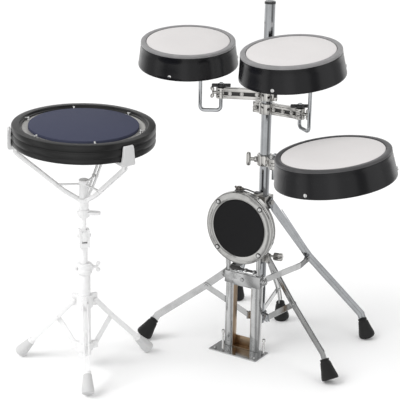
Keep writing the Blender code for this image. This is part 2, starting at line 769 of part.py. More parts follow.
def build_tower():
    """A pressed channel with a window, a foot, and two narrow arms behind the kick pad."""
    floor = PLATE_THICKNESS + SLIP
    half, front, back = TOWER_WIDTH / 2.0, TOWER_FRONT_Y, TOWER_FRONT_Y + TOWER_FLANGE
    inner, lining = half - TOWER_SHEET, front + TOWER_SHEET
    channel = [(-half, front), (half, front), (half, back), (inner, back), (inner, lining),
               (-inner, lining), (-inner, back), (-half, back)]
    place = Matrix.Translation((0.0, 0.0, (floor + TOWER_SHOULDER) / 2.0))
    tower = add_object("kick_tower", plate_mesh("kick_tower", [channel], TOWER_SHOULDER - floor),
                       CHROME, root, place)
    middle_y = front + TOWER_SHEET / 2.0
    bm = bmesh.new()
    box(bm, (2.0 * (half - SINK), TOWER_FLANGE - 2.0 * SINK, TOWER_SHEET),
        (0.0, (front + back) / 2.0, floor + TOWER_SHEET / 2.0))
    for side in (-1.0, 1.0):
        low = TOWER_SHOULDER - 2.0 * SINK
        box(bm, (HORN_WIDTH, TOWER_SHEET, TOWER_TOP - low),
            (side * (half - HORN_WIDTH / 2.0), middle_y, (TOWER_TOP + low) / 2.0))
    join(tower, "tower_foot_and_arms", finish_mesh("extras", bm), Matrix.Identity(4))
    bm = bmesh.new()
    box(bm, (WINDOW_WIDTH, 3.0 * TOWER_SHEET, WINDOW_TOP - WINDOW_BOTTOM),
        (0.0, middle_y, (WINDOW_TOP + WINDOW_BOTTOM) / 2.0))
    join(tower, "tower_window", finish_mesh("window", bm), Matrix.Identity(4), "DIFFERENCE")
    add_crossbar(tower)


def add_crossbar(tower):
    """A strap round the front of the tower, with the pivot bolts of the stay straps on its ends."""
    front, back = TOWER_FRONT_Y - CROSSBAR_SHEET, TOWER_FRONT_Y + TOWER_FLANGE
    inner, lining = TOWER_WIDTH / 2.0 - SINK, TOWER_FRONT_Y + SINK
    outline = [(-CROSSBAR_HALF, front), (CROSSBAR_HALF, front), (CROSSBAR_HALF, back), (inner, back),
               (inner, lining), (-inner, lining), (-inner, back), (-CROSSBAR_HALF, back)]
    middle_z = (CROSSBAR_TOP + CROSSBAR_BOTTOM) / 2.0
    mesh = plate_mesh("crossbar", [outline], CROSSBAR_TOP - CROSSBAR_BOTTOM)
    join(tower, "crossbar", mesh, Matrix.Translation((0.0, 0.0, middle_z)))
    centre = Vector((0.0, PIVOT_BOLT_Y, PIVOT_BOLT_Z))
    boss_end = CROSSBAR_HALF + PIVOT_BOSS
    head_start = boss_end + STRAP_THICKNESS + 2.0 * SLIP
    steps = [("bosses", CROSSBAR_HALF - SINK, boss_end, PIVOT_HEAD_RADIUS),
             ("shanks", boss_end - SINK, head_start + SINK, PIVOT_BOLT_RADIUS),
             ("heads", head_start, head_start + PIVOT_HEAD_HEIGHT, PIVOT_HEAD_RADIUS)]
    for name, start, end, radius in steps:
        runs = [(centre + side * start, centre + side * end, radius)
                for side in (Vector((-1.0, 0.0, 0.0)), Vector((1.0, 0.0, 0.0)))]
        if name == "heads":
            spot = Vector((0.0, front, middle_z))
            runs.append((spot + Vector((0.0, SINK, 0.0)), spot - Vector((0.0, 0.003, 0.0)),
                         PLATE_BOLT_RADIUS))
        join(tower, "pivot_" + name, cylinders_mesh(name, runs), Matrix.Identity(4))


def build_kick_pad():
    """A rubber disc in a chrome dish with a deep rim, and four screws on the rim."""
    place = frame((0.0, KICK_FRONT_Y, KICK_Z), (1, 0, 0), (0, 0, 1))
    opening = KICK_DISC_RADIUS + KICK_DISC_GAP
    inside = KICK_SHELL_RADIUS - KICK_SHELL_WALL
    depth = TOWER_FRONT_Y - SLIP - KICK_FRONT_Y
    profile = [(KICK_RIM_RADIUS - 0.001, 0.0), (KICK_RIM_RADIUS, -0.001), (KICK_RIM_RADIUS, -KICK_RIM_DEPTH),
               (KICK_SHELL_RADIUS, -KICK_RIM_DEPTH), (KICK_SHELL_RADIUS, -depth), (0.0, -depth),
               (0.0, KICK_SHELL_WALL - depth), (inside, KICK_SHELL_WALL - depth), (inside, -KICK_RIM_SHEET),
               (opening, -KICK_RIM_SHEET), (opening, 0.0)]
    dish = turned("kick_dish", profile, True, CHROME, root, place, FINE)
    screws = []
    for quarter in range(4):
        spot = polar(KICK_SCREW_CIRCLE, 45.0 + 90.0 * quarter, -SINK)
        screws.append((spot, spot + up * (SINK + 0.0025), KICK_SCREW_RADIUS, KICK_SCREW_RADIUS * 0.8))
    join(dish, "kick_screws", cylinders_mesh("kick_screws", screws), place)
    under, flange = KICK_RIM_SHEET + SLIP, inside - SLIP
    rubber = [(0.0, -SLIP), (KICK_DISC_RADIUS, -SLIP), (KICK_DISC_RADIUS, -under), (flange, -under),
              (flange, -under - KICK_DISC_FLANGE), (0.0, -under - KICK_DISC_FLANGE)]
    turned("kick_rubber", rubber, False, BLACK_RUBBER, root, place, FINE)


# Stays of the kick unit

def clip_point(sign):
    """Where the clip of one stay stands on it: plan coordinates in the world."""
    fold, heading, _ = stay_plan(sign)
    spot = fold + heading * STAY_CLIP
    return upright(post_axis, KICK_TURN) @ Vector((*spot, 0.0))


def stay_plan(sign):
    """Fold point, heading and length of one stay in the bracket's plan."""
    fold = Vector((sign * STAY_X, STAY_FOLD_Y))
    sole = Vector((sign * STAY_SOLE[0], STAY_SOLE[1]))
    return fold, (sole - fold).normalized(), (sole - fold).length


def build_bracket():
    """A clamp on the post with a hinge pin on each side and a neck that carries the flat bar."""
    centre = post_axis + up * BRACKET_Z
    slide = body("bracket_slide", centre)
    turn = upright(centre, KICK_TURN)
    bm = bmesh.new()
    box(bm, (BRACKET_WIDTH, BRACKET_DEPTH, BRACKET_HEIGHT), (0.0, 0.0, 0.0))
    bracket = add_object("stay_bracket", finish_mesh("bracket", bm), CHROME, slide, turn)
    neck_top = KICK_BAR_Z - KICK_BAR_THICKNESS / 2.0 - SLIP
    neck_low = BRACKET_Z - BRACKET_HEIGHT / 2.0 + SINK
    bm = bmesh.new()
    box(bm, (NECK_REACH, NECK_WIDTH, neck_top - neck_low),
        (NECK_REACH / 2.0, 0.0, (neck_top + neck_low) / 2.0))
    join(bracket, "bracket_neck", finish_mesh("neck", bm), upright(post_axis, KICK_BAR_TURN))
    stay_face = STAY_X + STAY_THICKNESS / 2.0 + SLIP
    steps = [("pins", BRACKET_WIDTH / 2.0 - SINK, stay_face + SINK, PIN_RADIUS),
             ("heads", stay_face, stay_face + 0.003, 2.2 * PIN_RADIUS)]
    for name, start, end, radius in steps:
        runs = [((side * start, STAY_PIVOT_Y, 0.0), (side * end, STAY_PIVOT_Y, 0.0), radius)
                for side in (-1.0, 1.0)]
        join(bracket, "bracket_" + name, cylinders_mesh(name, runs), turn)
    reach = up * 2.0 * BRACKET_HEIGHT
    join(bracket, "bracket_bore", cylinders_mesh("bore", [(-reach, reach, POST_BORE)], MEDIUM), turn,
         "DIFFERENCE")


def build_stays():
    """Two flat stays that hinge on the bracket, splay out and end in rubber boots."""
    sizes = (BOOT_LENGTH, BOOT_NECK_RADIUS, BOOT_SHOULDER_RADIUS, BOOT_RADIUS)
    turn = upright(post_axis, KICK_TURN)
    pivot_point = turn @ Vector((0.0, STAY_PIVOT_Y, BRACKET_Z))
    stays = body("stays_fold", pivot_point)
    for side, sign in STAY_SIDES.items():
        fold, heading, length = stay_plan(sign)
        tail_y = STAY_PIVOT_Y - STAY_TAIL
        fold_distance = STAY_FOLD_Y - tail_y
        pivot = Vector((STAY_TAIL, BRACKET_Z))
        clip = Vector((fold_distance + STAY_CLIP, STAY_CLIP_Z))
        start = pivot - (clip - pivot).normalized() * STAY_TAIL
        ankle = ankle_of(fold_distance + length, sizes, STAY_BOOT_LEAN)
        line = leg_line([start, clip], ankle, STAY_BOOT_LEAN)
        plan = [Vector((fold.x, tail_y)), fold, fold + heading * length]
        mesh = folded_strip_mesh("stay", line, STAY_WIDTH, plan)
        stay = add_object("stay_leg_" + side, mesh, CHROME, stays, turn)
        add_thickness(stay, STAY_THICKNESS)
        spot = clip_point(sign)
        lug = strip_outline([(spot.y - CLIP_REACHES[side], CLIP_Z), (spot.y + SINK, CLIP_Z)], CLIP_HEIGHT,
                            round_start=True)
        join(stay, "stay_clip_" + side, plate_mesh("clip", [lug], CLIP_SHEET),
             frame((spot.x, 0.0, 0.0), (0, 1, 0), up))
        reach = Vector((STAY_X + 3.0 * STAY_THICKNESS, 0.0, 0.0))
        hole = cylinders_mesh("hole", [(-reach, reach, PIN_RADIUS + SLIP)])
        join(stay, "stay_hole_" + side, hole, upright(pivot_point, KICK_TURN), "DIFFERENCE")
        neck = turn @ Vector((*(fold + heading * (ankle.x - fold_distance)), ankle.y))
        facing = math.degrees(math.atan2(heading.y, heading.x)) + KICK_TURN
        add_boot("stay_boot_" + side, neck, facing, STAY_BOOT_LEAN, sizes, BLACK_RUBBER, stays)


def build_straps():
    """Two flat straps from the tower's pivot bolts back over the tripod legs to the clips on the stays."""
    bolt = Vector((0.0, PIVOT_BOLT_Y, PIVOT_BOLT_Z))
    straps = body("straps_fold", bolt)
    for side, sign in STAY_SIDES.items():
        knee_x, knee_y, knee_z = STRAP_KNEES[side]
        clip = clip_point(sign)
        end_x = clip.x + CLIP_SHEET / 2.0 + STRAP_GAP + STRAP_THICKNESS / 2.0
        rivet_y = clip.y - CLIP_REACHES[side]
        tail_y = PIVOT_BOLT_Y - PIVOT_HEAD_RADIUS
        fold_y = PIVOT_BOLT_Y + PIVOT_HEAD_RADIUS + STRAP_THICKNESS / 2.0
        plan = [Vector((sign * STRAP_X, tail_y)), Vector((sign * STRAP_X, fold_y)),
                Vector((sign * knee_x, knee_y)), Vector((end_x, STRAP_RETURN_Y[side])),
                Vector((end_x, rivet_y + STRAP_WIDTH))]
        runs = [(second - first).length for first, second in zip(plan, plan[1:])]
        bolt_spot = Vector((PIVOT_BOLT_Y - tail_y, PIVOT_BOLT_Z))
        knee = Vector((runs[0] + runs[1], knee_z))
        rivet = Vector((sum(runs) - STRAP_WIDTH, CLIP_Z))
        start = bolt_spot - (knee - bolt_spot).normalized() * STRAP_TAIL
        end = rivet + (rivet - knee).normalized() * STRAP_TAIL
        mesh = folded_strip_mesh("strap", [start, knee, end], STRAP_WIDTH, plan)
        strap = add_object("stay_strap_" + side, mesh, CHROME, straps, Matrix.Identity(4))
        add_thickness(strap, STRAP_THICKNESS)
        reach = Vector((STRAP_X + 2.0 * STRAP_THICKNESS, 0.0, 0.0))
        hole = cylinders_mesh("hole", [(-reach, reach, PIVOT_BOLT_RADIUS + SLIP)])
        join(strap, "strap_hole_" + side, hole, Matrix.Translation(bolt), "DIFFERENCE")
        face = Vector((end_x + STRAP_THICKNESS / 2.0, rivet_y, CLIP_Z))
        out = Vector((1.0, 0.0, 0.0))
        head = cylinders_mesh("head", [(face - out * SINK, face + out * RIVET_HEIGHT, RIVET_RADIUS)])
        join(strap, "strap_rivet_" + side, head, Matrix.Identity(4))


def build_kick_bar():
    """A flat bar from the top of the kick pad down to the bracket's neck, with a wing nut at the front."""
    high = KICK_Z + KICK_RIM_RADIUS + SLIP + KICK_BAR_THICKNESS / 2.0
    line = [(KICK_BAR_TAIL, KICK_BAR_Z), (KICK_BAR_FOOT, KICK_BAR_Z), (KICK_BAR_RISE, high),
            (KICK_BAR_END, high)]
    mesh = plate_mesh("kick_top_bar", [strip_outline(line, KICK_BAR_THICKNESS)], KICK_BAR_WIDTH)
    outward = polar(1.0, KICK_BAR_TURN)
    slide = bpy.data.objects["bracket_slide"]
    bar = add_object("kick_top_bar", mesh, BLACK_PLASTIC, slide, frame(post_axis, outward, up))
    foot = post_axis + outward * (KICK_BAR_END - KICK_BAR_WIDTH / 2.0) + up * high
    join(bar, "kick_wing", wing_mesh(*KICK_WING), frame(foot, outward.cross(up), up))


# Tom pads, their rods and arms

def pad_frame(side):
    centre, _, lean, lean_to, _ = TOMS[side]
    return upright(centre, lean_to) @ Matrix.Rotation(math.radians(lean), 4, "Y")


def knuckle_point(side):
    """The hinge under a pad: above its rod, a fixed depth under the pad's top."""
    place = pad_frame(side)
    normal = place.to_3x3() @ up
    x, y, _ = RODS[side]
    centre = place.translation
    rise = (normal.x * (x - centre.x) + normal.y * (y - centre.y) + KNUCKLE_DROP) / normal.z
    return Vector((x, y, centre.z - rise))


def build_tom(side):
    _, ring, lean, lean_to, screw_to = TOMS[side]
    place = pad_frame(side)
    knuckle = knuckle_point(side)
    tilt = body("tom_tilt_" + side, knuckle)
    radius, seat = ring / 2.0, RIM_HEIGHT + SLIP
    foot = radius + SKIRT_FLARE
    skirt = [(0.0, -seat), (radius, -seat), (foot, -SKIRT_HEIGHT), (foot - SKIRT_WALL, -SKIRT_HEIGHT),
             (radius - SKIRT_WALL, -UNDER_TOP), (0.0, -UNDER_TOP)]
    shell = turned("tom_shell_" + side, skirt, False, BLACK_PLASTIC, tilt, place, FINE)
    add_skirt_screws(shell, place, radius, screw_to - lean_to)
    inner = radius - RIM_WIDTH
    rim = [(radius - 0.0012, 0.0), (radius, -0.0012), (radius, -RIM_HEIGHT), (inner, -RIM_HEIGHT),
           (inner, 0.0)]
    turned("tom_rim_" + side, rim, True, RIM_GREY, tilt, place, FINE)
    edge = inner - DISC_GAP
    disc = [(0.0, -DISC_DROP), (edge - 0.001, -DISC_DROP), (edge, -DISC_DROP - 0.001), (edge, -RIM_HEIGHT),
            (0.0, -RIM_HEIGHT)]
    turned("tom_disc_" + side, disc, False, PAD_WHITE, tilt, place, FINE)
    build_tom_bracket(side, place, knuckle, tilt)


def add_skirt_screws(shell, place, radius, first):
    """Small screw heads square to the flared skirt, just above its edge."""
    rise = SKIRT_HEIGHT - RIM_HEIGHT - SLIP
    slope = math.atan2(SKIRT_FLARE, rise)
    height = TOM_SCREW_HEIGHT - SKIRT_HEIGHT
    share = (-height - RIM_HEIGHT - SLIP) / rise
    screws = []
    for index in range(TOM_SCREWS):
        turn = first + 360.0 * index / TOM_SCREWS
        out = polar(math.cos(slope), turn, math.sin(slope))
        foot = polar(radius + SKIRT_FLARE * share, turn, height)
        screws.append((foot - out * SINK, foot + out * 0.002, TOM_SCREW_RADIUS, TOM_SCREW_RADIUS * 0.75))
    join(shell, shell.name + "_screws", cylinders_mesh("screws", screws), place)


def build_tom_bracket(side, place, knuckle, tilt):
    """The fork under a pad, with its pin and wing screw."""
    spot = place.inverted() @ knuckle
    inside = KNUCKLE_WIDTH / 2.0 + SLIP
    outside = inside + TOM_CHEEK
    top, low = -UNDER_TOP - SLIP, -KNUCKLE_DROP - KNUCKLE_RADIUS
    web = top - TOM_CHEEK
    fork = [(-outside, top), (-outside, low), (-inside, low), (-inside, web), (inside, web), (inside, low),
            (outside, low), (outside, top)]
    local = frame((spot.x, spot.y, 0.0), (0, 1, 0), up)
    mesh = plate_mesh("fork", [fork], TOM_BRACKET_WIDTH)
    bracket = add_object("tom_bracket_" + side, mesh, CHROME, tilt, place @ local)
    pin_end = outside + 0.002
    pin = cylinders_mesh("pin", [((-pin_end, spot.z, 0.0), (pin_end, spot.z, 0.0), KNUCKLE_PIN)])
    join(bracket, "tom_pin_" + side, pin, place @ local)
    foot = Vector((outside - SINK, spot.z, 0.0))
    join(bracket, "tom_wing_" + side, wing_mesh(*TOM_WING), place @ local @ frame(foot, (0, 1, 0), (1, 0, 0)))


def build_rod(side, hole, hole_end):
    """A bent rod from the hole in its arm to the knuckle under its pad."""
    x, y, level = RODS[side]
    knuckle = knuckle_point(side)
    rod_body = body("rod_swivel_" + side, hole)
    wall = (KNUCKLE_RADIUS + KNUCKLE_PIN) / 2.0
    path = [(hole.x, hole.y, hole_end), (hole.x, hole.y, level), (x, y, level), (x, y, knuckle.z - wall)]
    rod = add_object("tom_rod_" + side, rod_mesh("rod", fillet(path, ROD_BEND), ROD_RADIUS, 2), CHROME,
                     rod_body, Matrix.Identity(4))
    across = polar(1.0, TOMS[side][3] + 90.0)
    for name, half, radius, operation in (("barrel", KNUCKLE_WIDTH / 2.0, KNUCKLE_RADIUS, "UNION"),
                                          ("eye", KNUCKLE_WIDTH, KNUCKLE_PIN + SLIP, "DIFFERENCE")):
        mesh = cylinders_mesh(name, [(knuckle - across * half, knuckle + across * half, radius)], 16)
        join(rod, "tom_%s_%s" % (name, side), mesh, Matrix.Identity(4), operation)


def build_arm(side):
    """A clamp arm on the post with its bent rod and the wing lever that locks the rod."""
    z, direction, reach, tail = ARMS[side]
    centre = post_axis + up * z
    swivel = body("arm_swivel_" + side, centre)
    ring = POST_BORE + ARM_POST_WALL
    outline = arm_outline(reach, tail, ring, ARM_HALF_WIDTH, ARM_END_RADIUS)
    holes = [circle((0.0, 0.0), POST_BORE, MEDIUM), circle((reach, 0.0), ROD_RADIUS + SLIP)]
    mesh = plate_mesh("arm", [outline, *holes], ARM_HEIGHT)
    arm = add_object("tom_arm_" + side, mesh, CHROME, swivel, upright(centre, direction))
    bolts = []
    for face in (Vector((0.0, -1.0, 0.0)), Vector((0.0, 1.0, 0.0))):
        for x in (ring + 0.010, 0.62 * reach):
            spot = face * ARM_HALF_WIDTH + Vector((x, 0.0, 0.0))
            bolts.append((spot - face * SINK, spot + face * 0.0035, 0.0055))
    join(arm, "arm_bolts_" + side, cylinders_mesh("bolts", bolts), place_of(arm))
    foot = Vector((reach + ARM_END_RADIUS - SINK, 0.0, 0.0))
    join(arm, "arm_wing_" + side, wing_mesh(*ARM_WING), place_of(arm) @ frame(foot, up, (1, 0, 0)))
    hole = centre + polar(reach, direction)
    top = z + ARM_HEIGHT / 2.0
    build_rod(side, hole, top + ROD_STUB)
    half, ears = LEVER_THICKNESS / 2.0, LEVER_SPAN / 2.0
    side_angle = math.degrees(math.asin(half / LEVER_HUB_RADIUS))
    outline = arc((0.0, 0.0), LEVER_HUB_RADIUS, side_angle, 180.0 - side_angle, 6)
    outline += [(-ears, half), (-ears, -half)]
    outline += arc((0.0, 0.0), LEVER_HUB_RADIUS, 180.0 + side_angle, 360.0 - side_angle, 6)
    outline += [(ears, -half), (ears, half)]
    lever = body("lever_turn_" + side, hole)
    mesh = plate_mesh("lever", [outline, circle((0.0, 0.0), ROD_RADIUS + SLIP)], LEVER_HEIGHT)
    lever_centre = Vector((hole.x, hole.y, top + SLIP + LEVER_HEIGHT / 2.0))
    add_object("arm_lever_" + side, mesh, BLACK_PLASTIC, lever, upright(lever_centre, LEVER_TURN))


def build_side_clamp():
    """The clamp that carries the side tom's rod, with its wing knob."""
    centre = post_axis + up * SIDE_CLAMP_Z
    swivel = body("side_clamp_swivel", centre)
    ring = POST_BORE + ARM_POST_WALL
    outline = arm_outline(SIDE_CLAMP_REACH, SIDE_CLAMP_TAIL, ring, ARM_HALF_WIDTH, ARM_END_RADIUS)
    holes = [circle((0.0, 0.0), POST_BORE, MEDIUM), circle((SIDE_CLAMP_REACH, 0.0), ROD_RADIUS + SLIP)]
    mesh = plate_mesh("side_clamp", [outline, *holes], SIDE_CLAMP_HEIGHT)
    add_object("side_clamp", mesh, CHROME, swivel, upright(centre, SIDE_CLAMP_DIRECTION))
    hole = centre + polar(SIDE_CLAMP_REACH, SIDE_CLAMP_DIRECTION)
    build_rod("side", hole, SIDE_CLAMP_Z - SIDE_CLAMP_HEIGHT / 2.0 - SIDE_ROD_HANG)
    knob = body("side_knob_turn", centre)
    foot = centre + polar(ring + SLIP, SIDE_KNOB_DIRECTION)
    add_object("side_knob", wing_mesh(*SIDE_WING, 0.009), CHROME, knob,
               frame(foot, up, polar(1.0, SIDE_KNOB_DIRECTION)))


# Snare pad and its stand

def basket_frame():
    lean = Matrix.Rotation(math.radians(SNARE_LEAN), 4, "Y")
    return upright(stand_axis + up * TILTER_Z, SNARE_LEAN_TO) @ lean


def build_snare_pad(basket):
    place = basket_frame() @ Matrix.Translation((0.0, 0.0, SNARE_RISE))
    groove, edge = SNARE_HOOP_RADIUS - SNARE_GROOVE_DEPTH, 0.002
    hoop = [(SNARE_HOOP_RADIUS - edge, 0.0), (SNARE_HOOP_RADIUS, -edge)]
    for index in range(SNARE_GROOVES):
        middle = -SNARE_HOOP_HEIGHT * (index + 1) / (SNARE_GROOVES + 1)
        hoop += [(SNARE_HOOP_RADIUS, middle + 0.003), (groove, middle + 0.0015), (groove, middle - 0.0015),
                 (SNARE_HOOP_RADIUS, middle - 0.003)]
    hoop += [(SNARE_HOOP_RADIUS, edge - SNARE_HOOP_HEIGHT), (SNARE_HOOP_RADIUS - edge, -SNARE_HOOP_HEIGHT),
             (SNARE_HOOP_INNER, -SNARE_HOOP_HEIGHT), (SNARE_HOOP_INNER, 0.0)]
    turned("snare_hoop", hoop, True, BLACK_RUBBER, basket, place, FINE)
    rim, top = SNARE_HOOP_INNER - SLIP, -SNARE_PLATE_DROP
    low = top - SNARE_PLATE_THICKNESS
    plate = turned("snare_plate", [(0.0, top), (rim, top), (rim, low), (0.0, low)], False, RIM_GREY, basket,
                   place, FINE)
    lugs = []
    for index in range(SNARE_LUGS):
        spot = polar(SNARE_LUG_CIRCLE, 60.0 * index, top)
        lugs.append((spot - up * SINK, spot + up * 0.003, SNARE_LUG_RADIUS))
    join(plate, "snare_lugs", cylinders_mesh("lugs", lugs), place)
    seat = top + SLIP
    disc = [(0.0, seat + SNARE_DISC_THICKNESS), (SNARE_DISC_RADIUS - 0.001, seat + SNARE_DISC_THICKNESS),
            (SNARE_DISC_RADIUS, seat + SNARE_DISC_THICKNESS - 0.001), (SNARE_DISC_RADIUS, seat), (0.0, seat)]
    turned("snare_disc", disc, False, NAVY_RUBBER, basket, place, FINE)


def build_basket(basket):
    """The tilting basket: a tongue and tube, a hand nut, a hub, and three arms with rubber claws."""
    place = basket_frame()
    tube, nut, hub = BASKET_TUBE_RADIUS, BASKET_NUT_RADIUS, BASKET_HUB_RADIUS
    profile = [(0.0, BASKET_HUB_TOP), (hub, BASKET_HUB_TOP), (hub, BASKET_HUB_BOTTOM + 0.002),
               (nut, BASKET_HUB_BOTTOM), (nut, BASKET_NUT_BOTTOM), (tube, BASKET_NUT_BOTTOM - 0.002),
               (tube, TILTER_RADIUS / 2.0), (0.0, TILTER_RADIUS / 2.0)]
    stem = turned("stand_basket", profile, False, PALE_METAL, basket, place)
    for name, half, radius, operation in (("tongue", TILTER_TONGUE / 2.0, TILTER_RADIUS, "UNION"),
                                          ("eye", TILTER_TONGUE, TILTER_PIN + SLIP, "DIFFERENCE")):
        mesh = cylinders_mesh(name, [((0.0, -half, 0.0), (0.0, half, 0.0), radius)], MEDIUM)
        join(stem, "basket_" + name, mesh, place, operation)
    under = SNARE_RISE - SNARE_HOOP_HEIGHT - SLIP
    grip = SNARE_HOOP_RADIUS + SLIP
    seat = SNARE_HOOP_RADIUS - BASKET_TIP_WALL
    arm_end = under - BASKET_TIP_WALL / 2.0
    line = [(hub / 2.0, BASKET_ARM_START), (0.045, BASKET_ARM_START + 0.030), (seat, arm_end - 0.014),
            (seat, arm_end)]
    claw = [(seat - 0.010, under - BASKET_TIP_WALL), (grip + BASKET_TIP_WALL, under - BASKET_TIP_WALL),
            (grip + BASKET_TIP_WALL, under + BASKET_TIP_LIP), (grip, under + BASKET_TIP_LIP), (grip, under),
            (seat - 0.010, under)]
    for index, turn in enumerate(BASKET_ARM_TURNS):
        local = place @ frame((0.0, 0.0, 0.0), polar(1.0, turn), up)
        arm = plate_mesh("arm", [strip_outline(line, BASKET_ARM_THICKNESS)], BASKET_ARM_WIDTH)
        join(stem, "basket_arm_%d" % index, arm, local)
        join(stem, "basket_tip_%d" % index, plate_mesh("tip", [claw], BASKET_TIP_WIDTH), local)


def build_stand_tubes():
    """The base tube with its clamp and lower collar, and the upper rod with the tilter's fork."""
    rod_bore = STAND_ROD_RADIUS + SLIP
    bore = STAND_TUBE_RADIUS - STAND_TUBE_WALL
    profile = [(STAND_CLAMP_RADIUS, STAND_TUBE_TOP), (STAND_CLAMP_RADIUS, STAND_CLAMP_BOTTOM),
               (STAND_TUBE_RADIUS, STAND_CLAMP_BOTTOM), (STAND_TUBE_RADIUS, STAND_TUBE_BOTTOM),
               (bore, STAND_TUBE_BOTTOM), (bore, STAND_CLAMP_BOTTOM + 0.006),
               (rod_bore, STAND_CLAMP_BOTTOM + 0.006),
               (rod_bore, STAND_TUBE_TOP)]
    tube = turned("stand_base_tube", profile, True, PALE_METAL, root, upright(stand_axis))
    gap = STAND_BAR_THICKNESS + 2.0 * SLIP
    collar = lug_collar("stand_lower_collar", stand_axis + up * STAND_COLLAR_Z, STAND_COLLAR_HEIGHT,
                        (bore + STAND_TUBE_RADIUS) / 2.0, STAND_COLLAR_RADIUS, STAND_PIVOT_RADIUS,
                        STAND_DIRECTIONS.values(), fork_lugs(0.0, gap), gap / 2.0 + CHEEK, root, PALE_METAL,
                        cutters)
    apply_boolean(tube, collar, "UNION")
    along = polar(1.0, SNARE_LEAN_TO + 90.0)
    clamp_z = (STAND_TUBE_TOP + STAND_CLAMP_BOTTOM) / 2.0
    foot = stand_axis + up * clamp_z + along * (STAND_CLAMP_RADIUS - SINK)
    join(tube, "stand_wing", wing_mesh(*STAND_WING), frame(foot, up, along))
    slide = body("stand_height", stand_axis + up * STAND_TUBE_TOP)
    inside = TILTER_TONGUE / 2.0 + SLIP
    outside = inside + TILTER_CHEEK
    floor = TILTER_Z - TILTER_RADIUS - 0.0008
    low, high = floor - 0.010, TILTER_Z + TILTER_RADIUS
    fork = [(-outside, low), (outside, low), (outside, high), (inside, high), (inside, floor),
            (-inside, floor),
            (-inside, high), (-outside, high)]
    place = frame(stand_axis, along, up)
    upper = add_object("stand_upper_rod", plate_mesh("tilter_fork", [fork], 1.5 * TILTER_RADIUS), PALE_METAL,
                       slide, place)
    for name, start, end, radius in (
            ("rod", stand_axis + up * STAND_ROD_BOTTOM, stand_axis + up * (low + 0.004), STAND_ROD_RADIUS),
            ("pin", stand_axis + up * TILTER_Z - along * (outside + 0.004),
             stand_axis + up * TILTER_Z + along * (outside + 0.004), TILTER_PIN)):
        join(upper, "stand_" + name, cylinders_mesh(name, [(start, end, radius)], MEDIUM), Matrix.Identity(4))


def build_stand_legs():
    hub_centre = stand_axis + up * STAND_HUB_Z
    hub = body("stand_collar_slide", hub_centre)
    spread = STAND_BAR_SPREAD / 2.0
    tongue = spread - STAND_BAR_THICKNESS / 2.0 - SLIP
    pin_half = spread + STAND_BAR_THICKNESS / 2.0 + PIN_HEAD
    lug_collar("stand_leg_collar", hub_centre, STAND_HUB_HEIGHT, STAND_BORE, STAND_COLLAR_RADIUS,
               STAND_PIVOT_RADIUS, STAND_DIRECTIONS.values(), [(-tongue, tongue)], pin_half, hub, PALE_METAL)
    pivot, foot = (STAND_PIVOT_RADIUS, STAND_HUB_Z), (STAND_PIVOT_RADIUS, STAND_COLLAR_Z)
    ankle = ankle_of(STAND_SOLE_RADIUS, STAND_FOOT_SIZES, STAND_FOOT_LEAN)
    for side, direction in STAND_DIRECTIONS.items():
        hinge = radial_frame(stand_axis, direction, *pivot)
        leg = body("stand_leg_swing_" + side, hinge.translation)
        angle = math.radians(STAND_FOOT_LEAN)
        root_end = ankle + 2.0 * STAND_FOOT_SIZES[1] * Vector((math.sin(angle), -math.cos(angle))) / 3.0
        line = [*leg_line([pivot, STAND_ELBOW], ankle, STAND_FOOT_LEAN), root_end]
        strip = swung_bar("stand_leg", line, pivot, STAND_BAR_WIDTH, STAND_BAR_THICKNESS)
        bm = bmesh.new()
        for way in (-1.0, 1.0):
            before = len(bm.verts)
            bm.from_mesh(strip)
            bm.verts.ensure_lookup_table()
            bmesh.ops.translate(bm, verts=bm.verts[before:], vec=(0.0, 0.0, way * spread))
        bm.to_mesh(strip)
        bm.free()
        piece = add_object("stand_leg_" + side, strip, PALE_METAL, leg, hinge)
        elbow = Vector(STAND_ELBOW) - Vector(pivot)
        for way in (-1.0, 1.0):
            add_rivet(piece, elbow, spread + STAND_BAR_THICKNESS / 2.0, way)
        neck = stand_axis + polar(ankle.x, direction, ankle.y)
        boot = add_boot("stand_foot_" + side, neck, direction, STAND_FOOT_LEAN, STAND_FOOT_SIZES, PALE_METAL,
                        leg, cutters)
        apply_boolean(piece, boot, "UNION")
        hinge = radial_frame(stand_axis, direction, *foot)
        brace = body("stand_brace_swing_" + side, hinge.translation)
        mesh = swung_bar("stand_brace", [foot, STAND_ELBOW], foot, STAND_BAR_WIDTH, STAND_BAR_THICKNESS,
                         round_end=True)
        add_object("stand_brace_" + side, mesh, PALE_METAL, brace, hinge)


build_post()
build_tripod()
build_base_plate()
build_spurs()
build_tower()
build_kick_pad()
build_bracket()
build_stays()
build_straps()
build_kick_bar()
build_arm("left")
build_arm("right")
build_side_clamp()
for tom_side in TOMS:
    build_tom(tom_side)
build_stand_tubes()
build_stand_legs()
tilt_body = body("basket_tilt", stand_axis + up * TILTER_Z)
build_basket(tilt_body)
build_snare_pad(tilt_body)
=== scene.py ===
"""Practice pad drum kit: the finished pieces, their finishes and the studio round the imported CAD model.

Metres, +Z up, in the CAD's own frame. Pieces are drawn in a local frame and placed in their mesh.
Directions are degrees from +X towards +Y. A point of two numbers is (out, up), unless a comment says otherwise.
"""
import json
import math

import bmesh
import bpy
from mathutils import Matrix, Vector

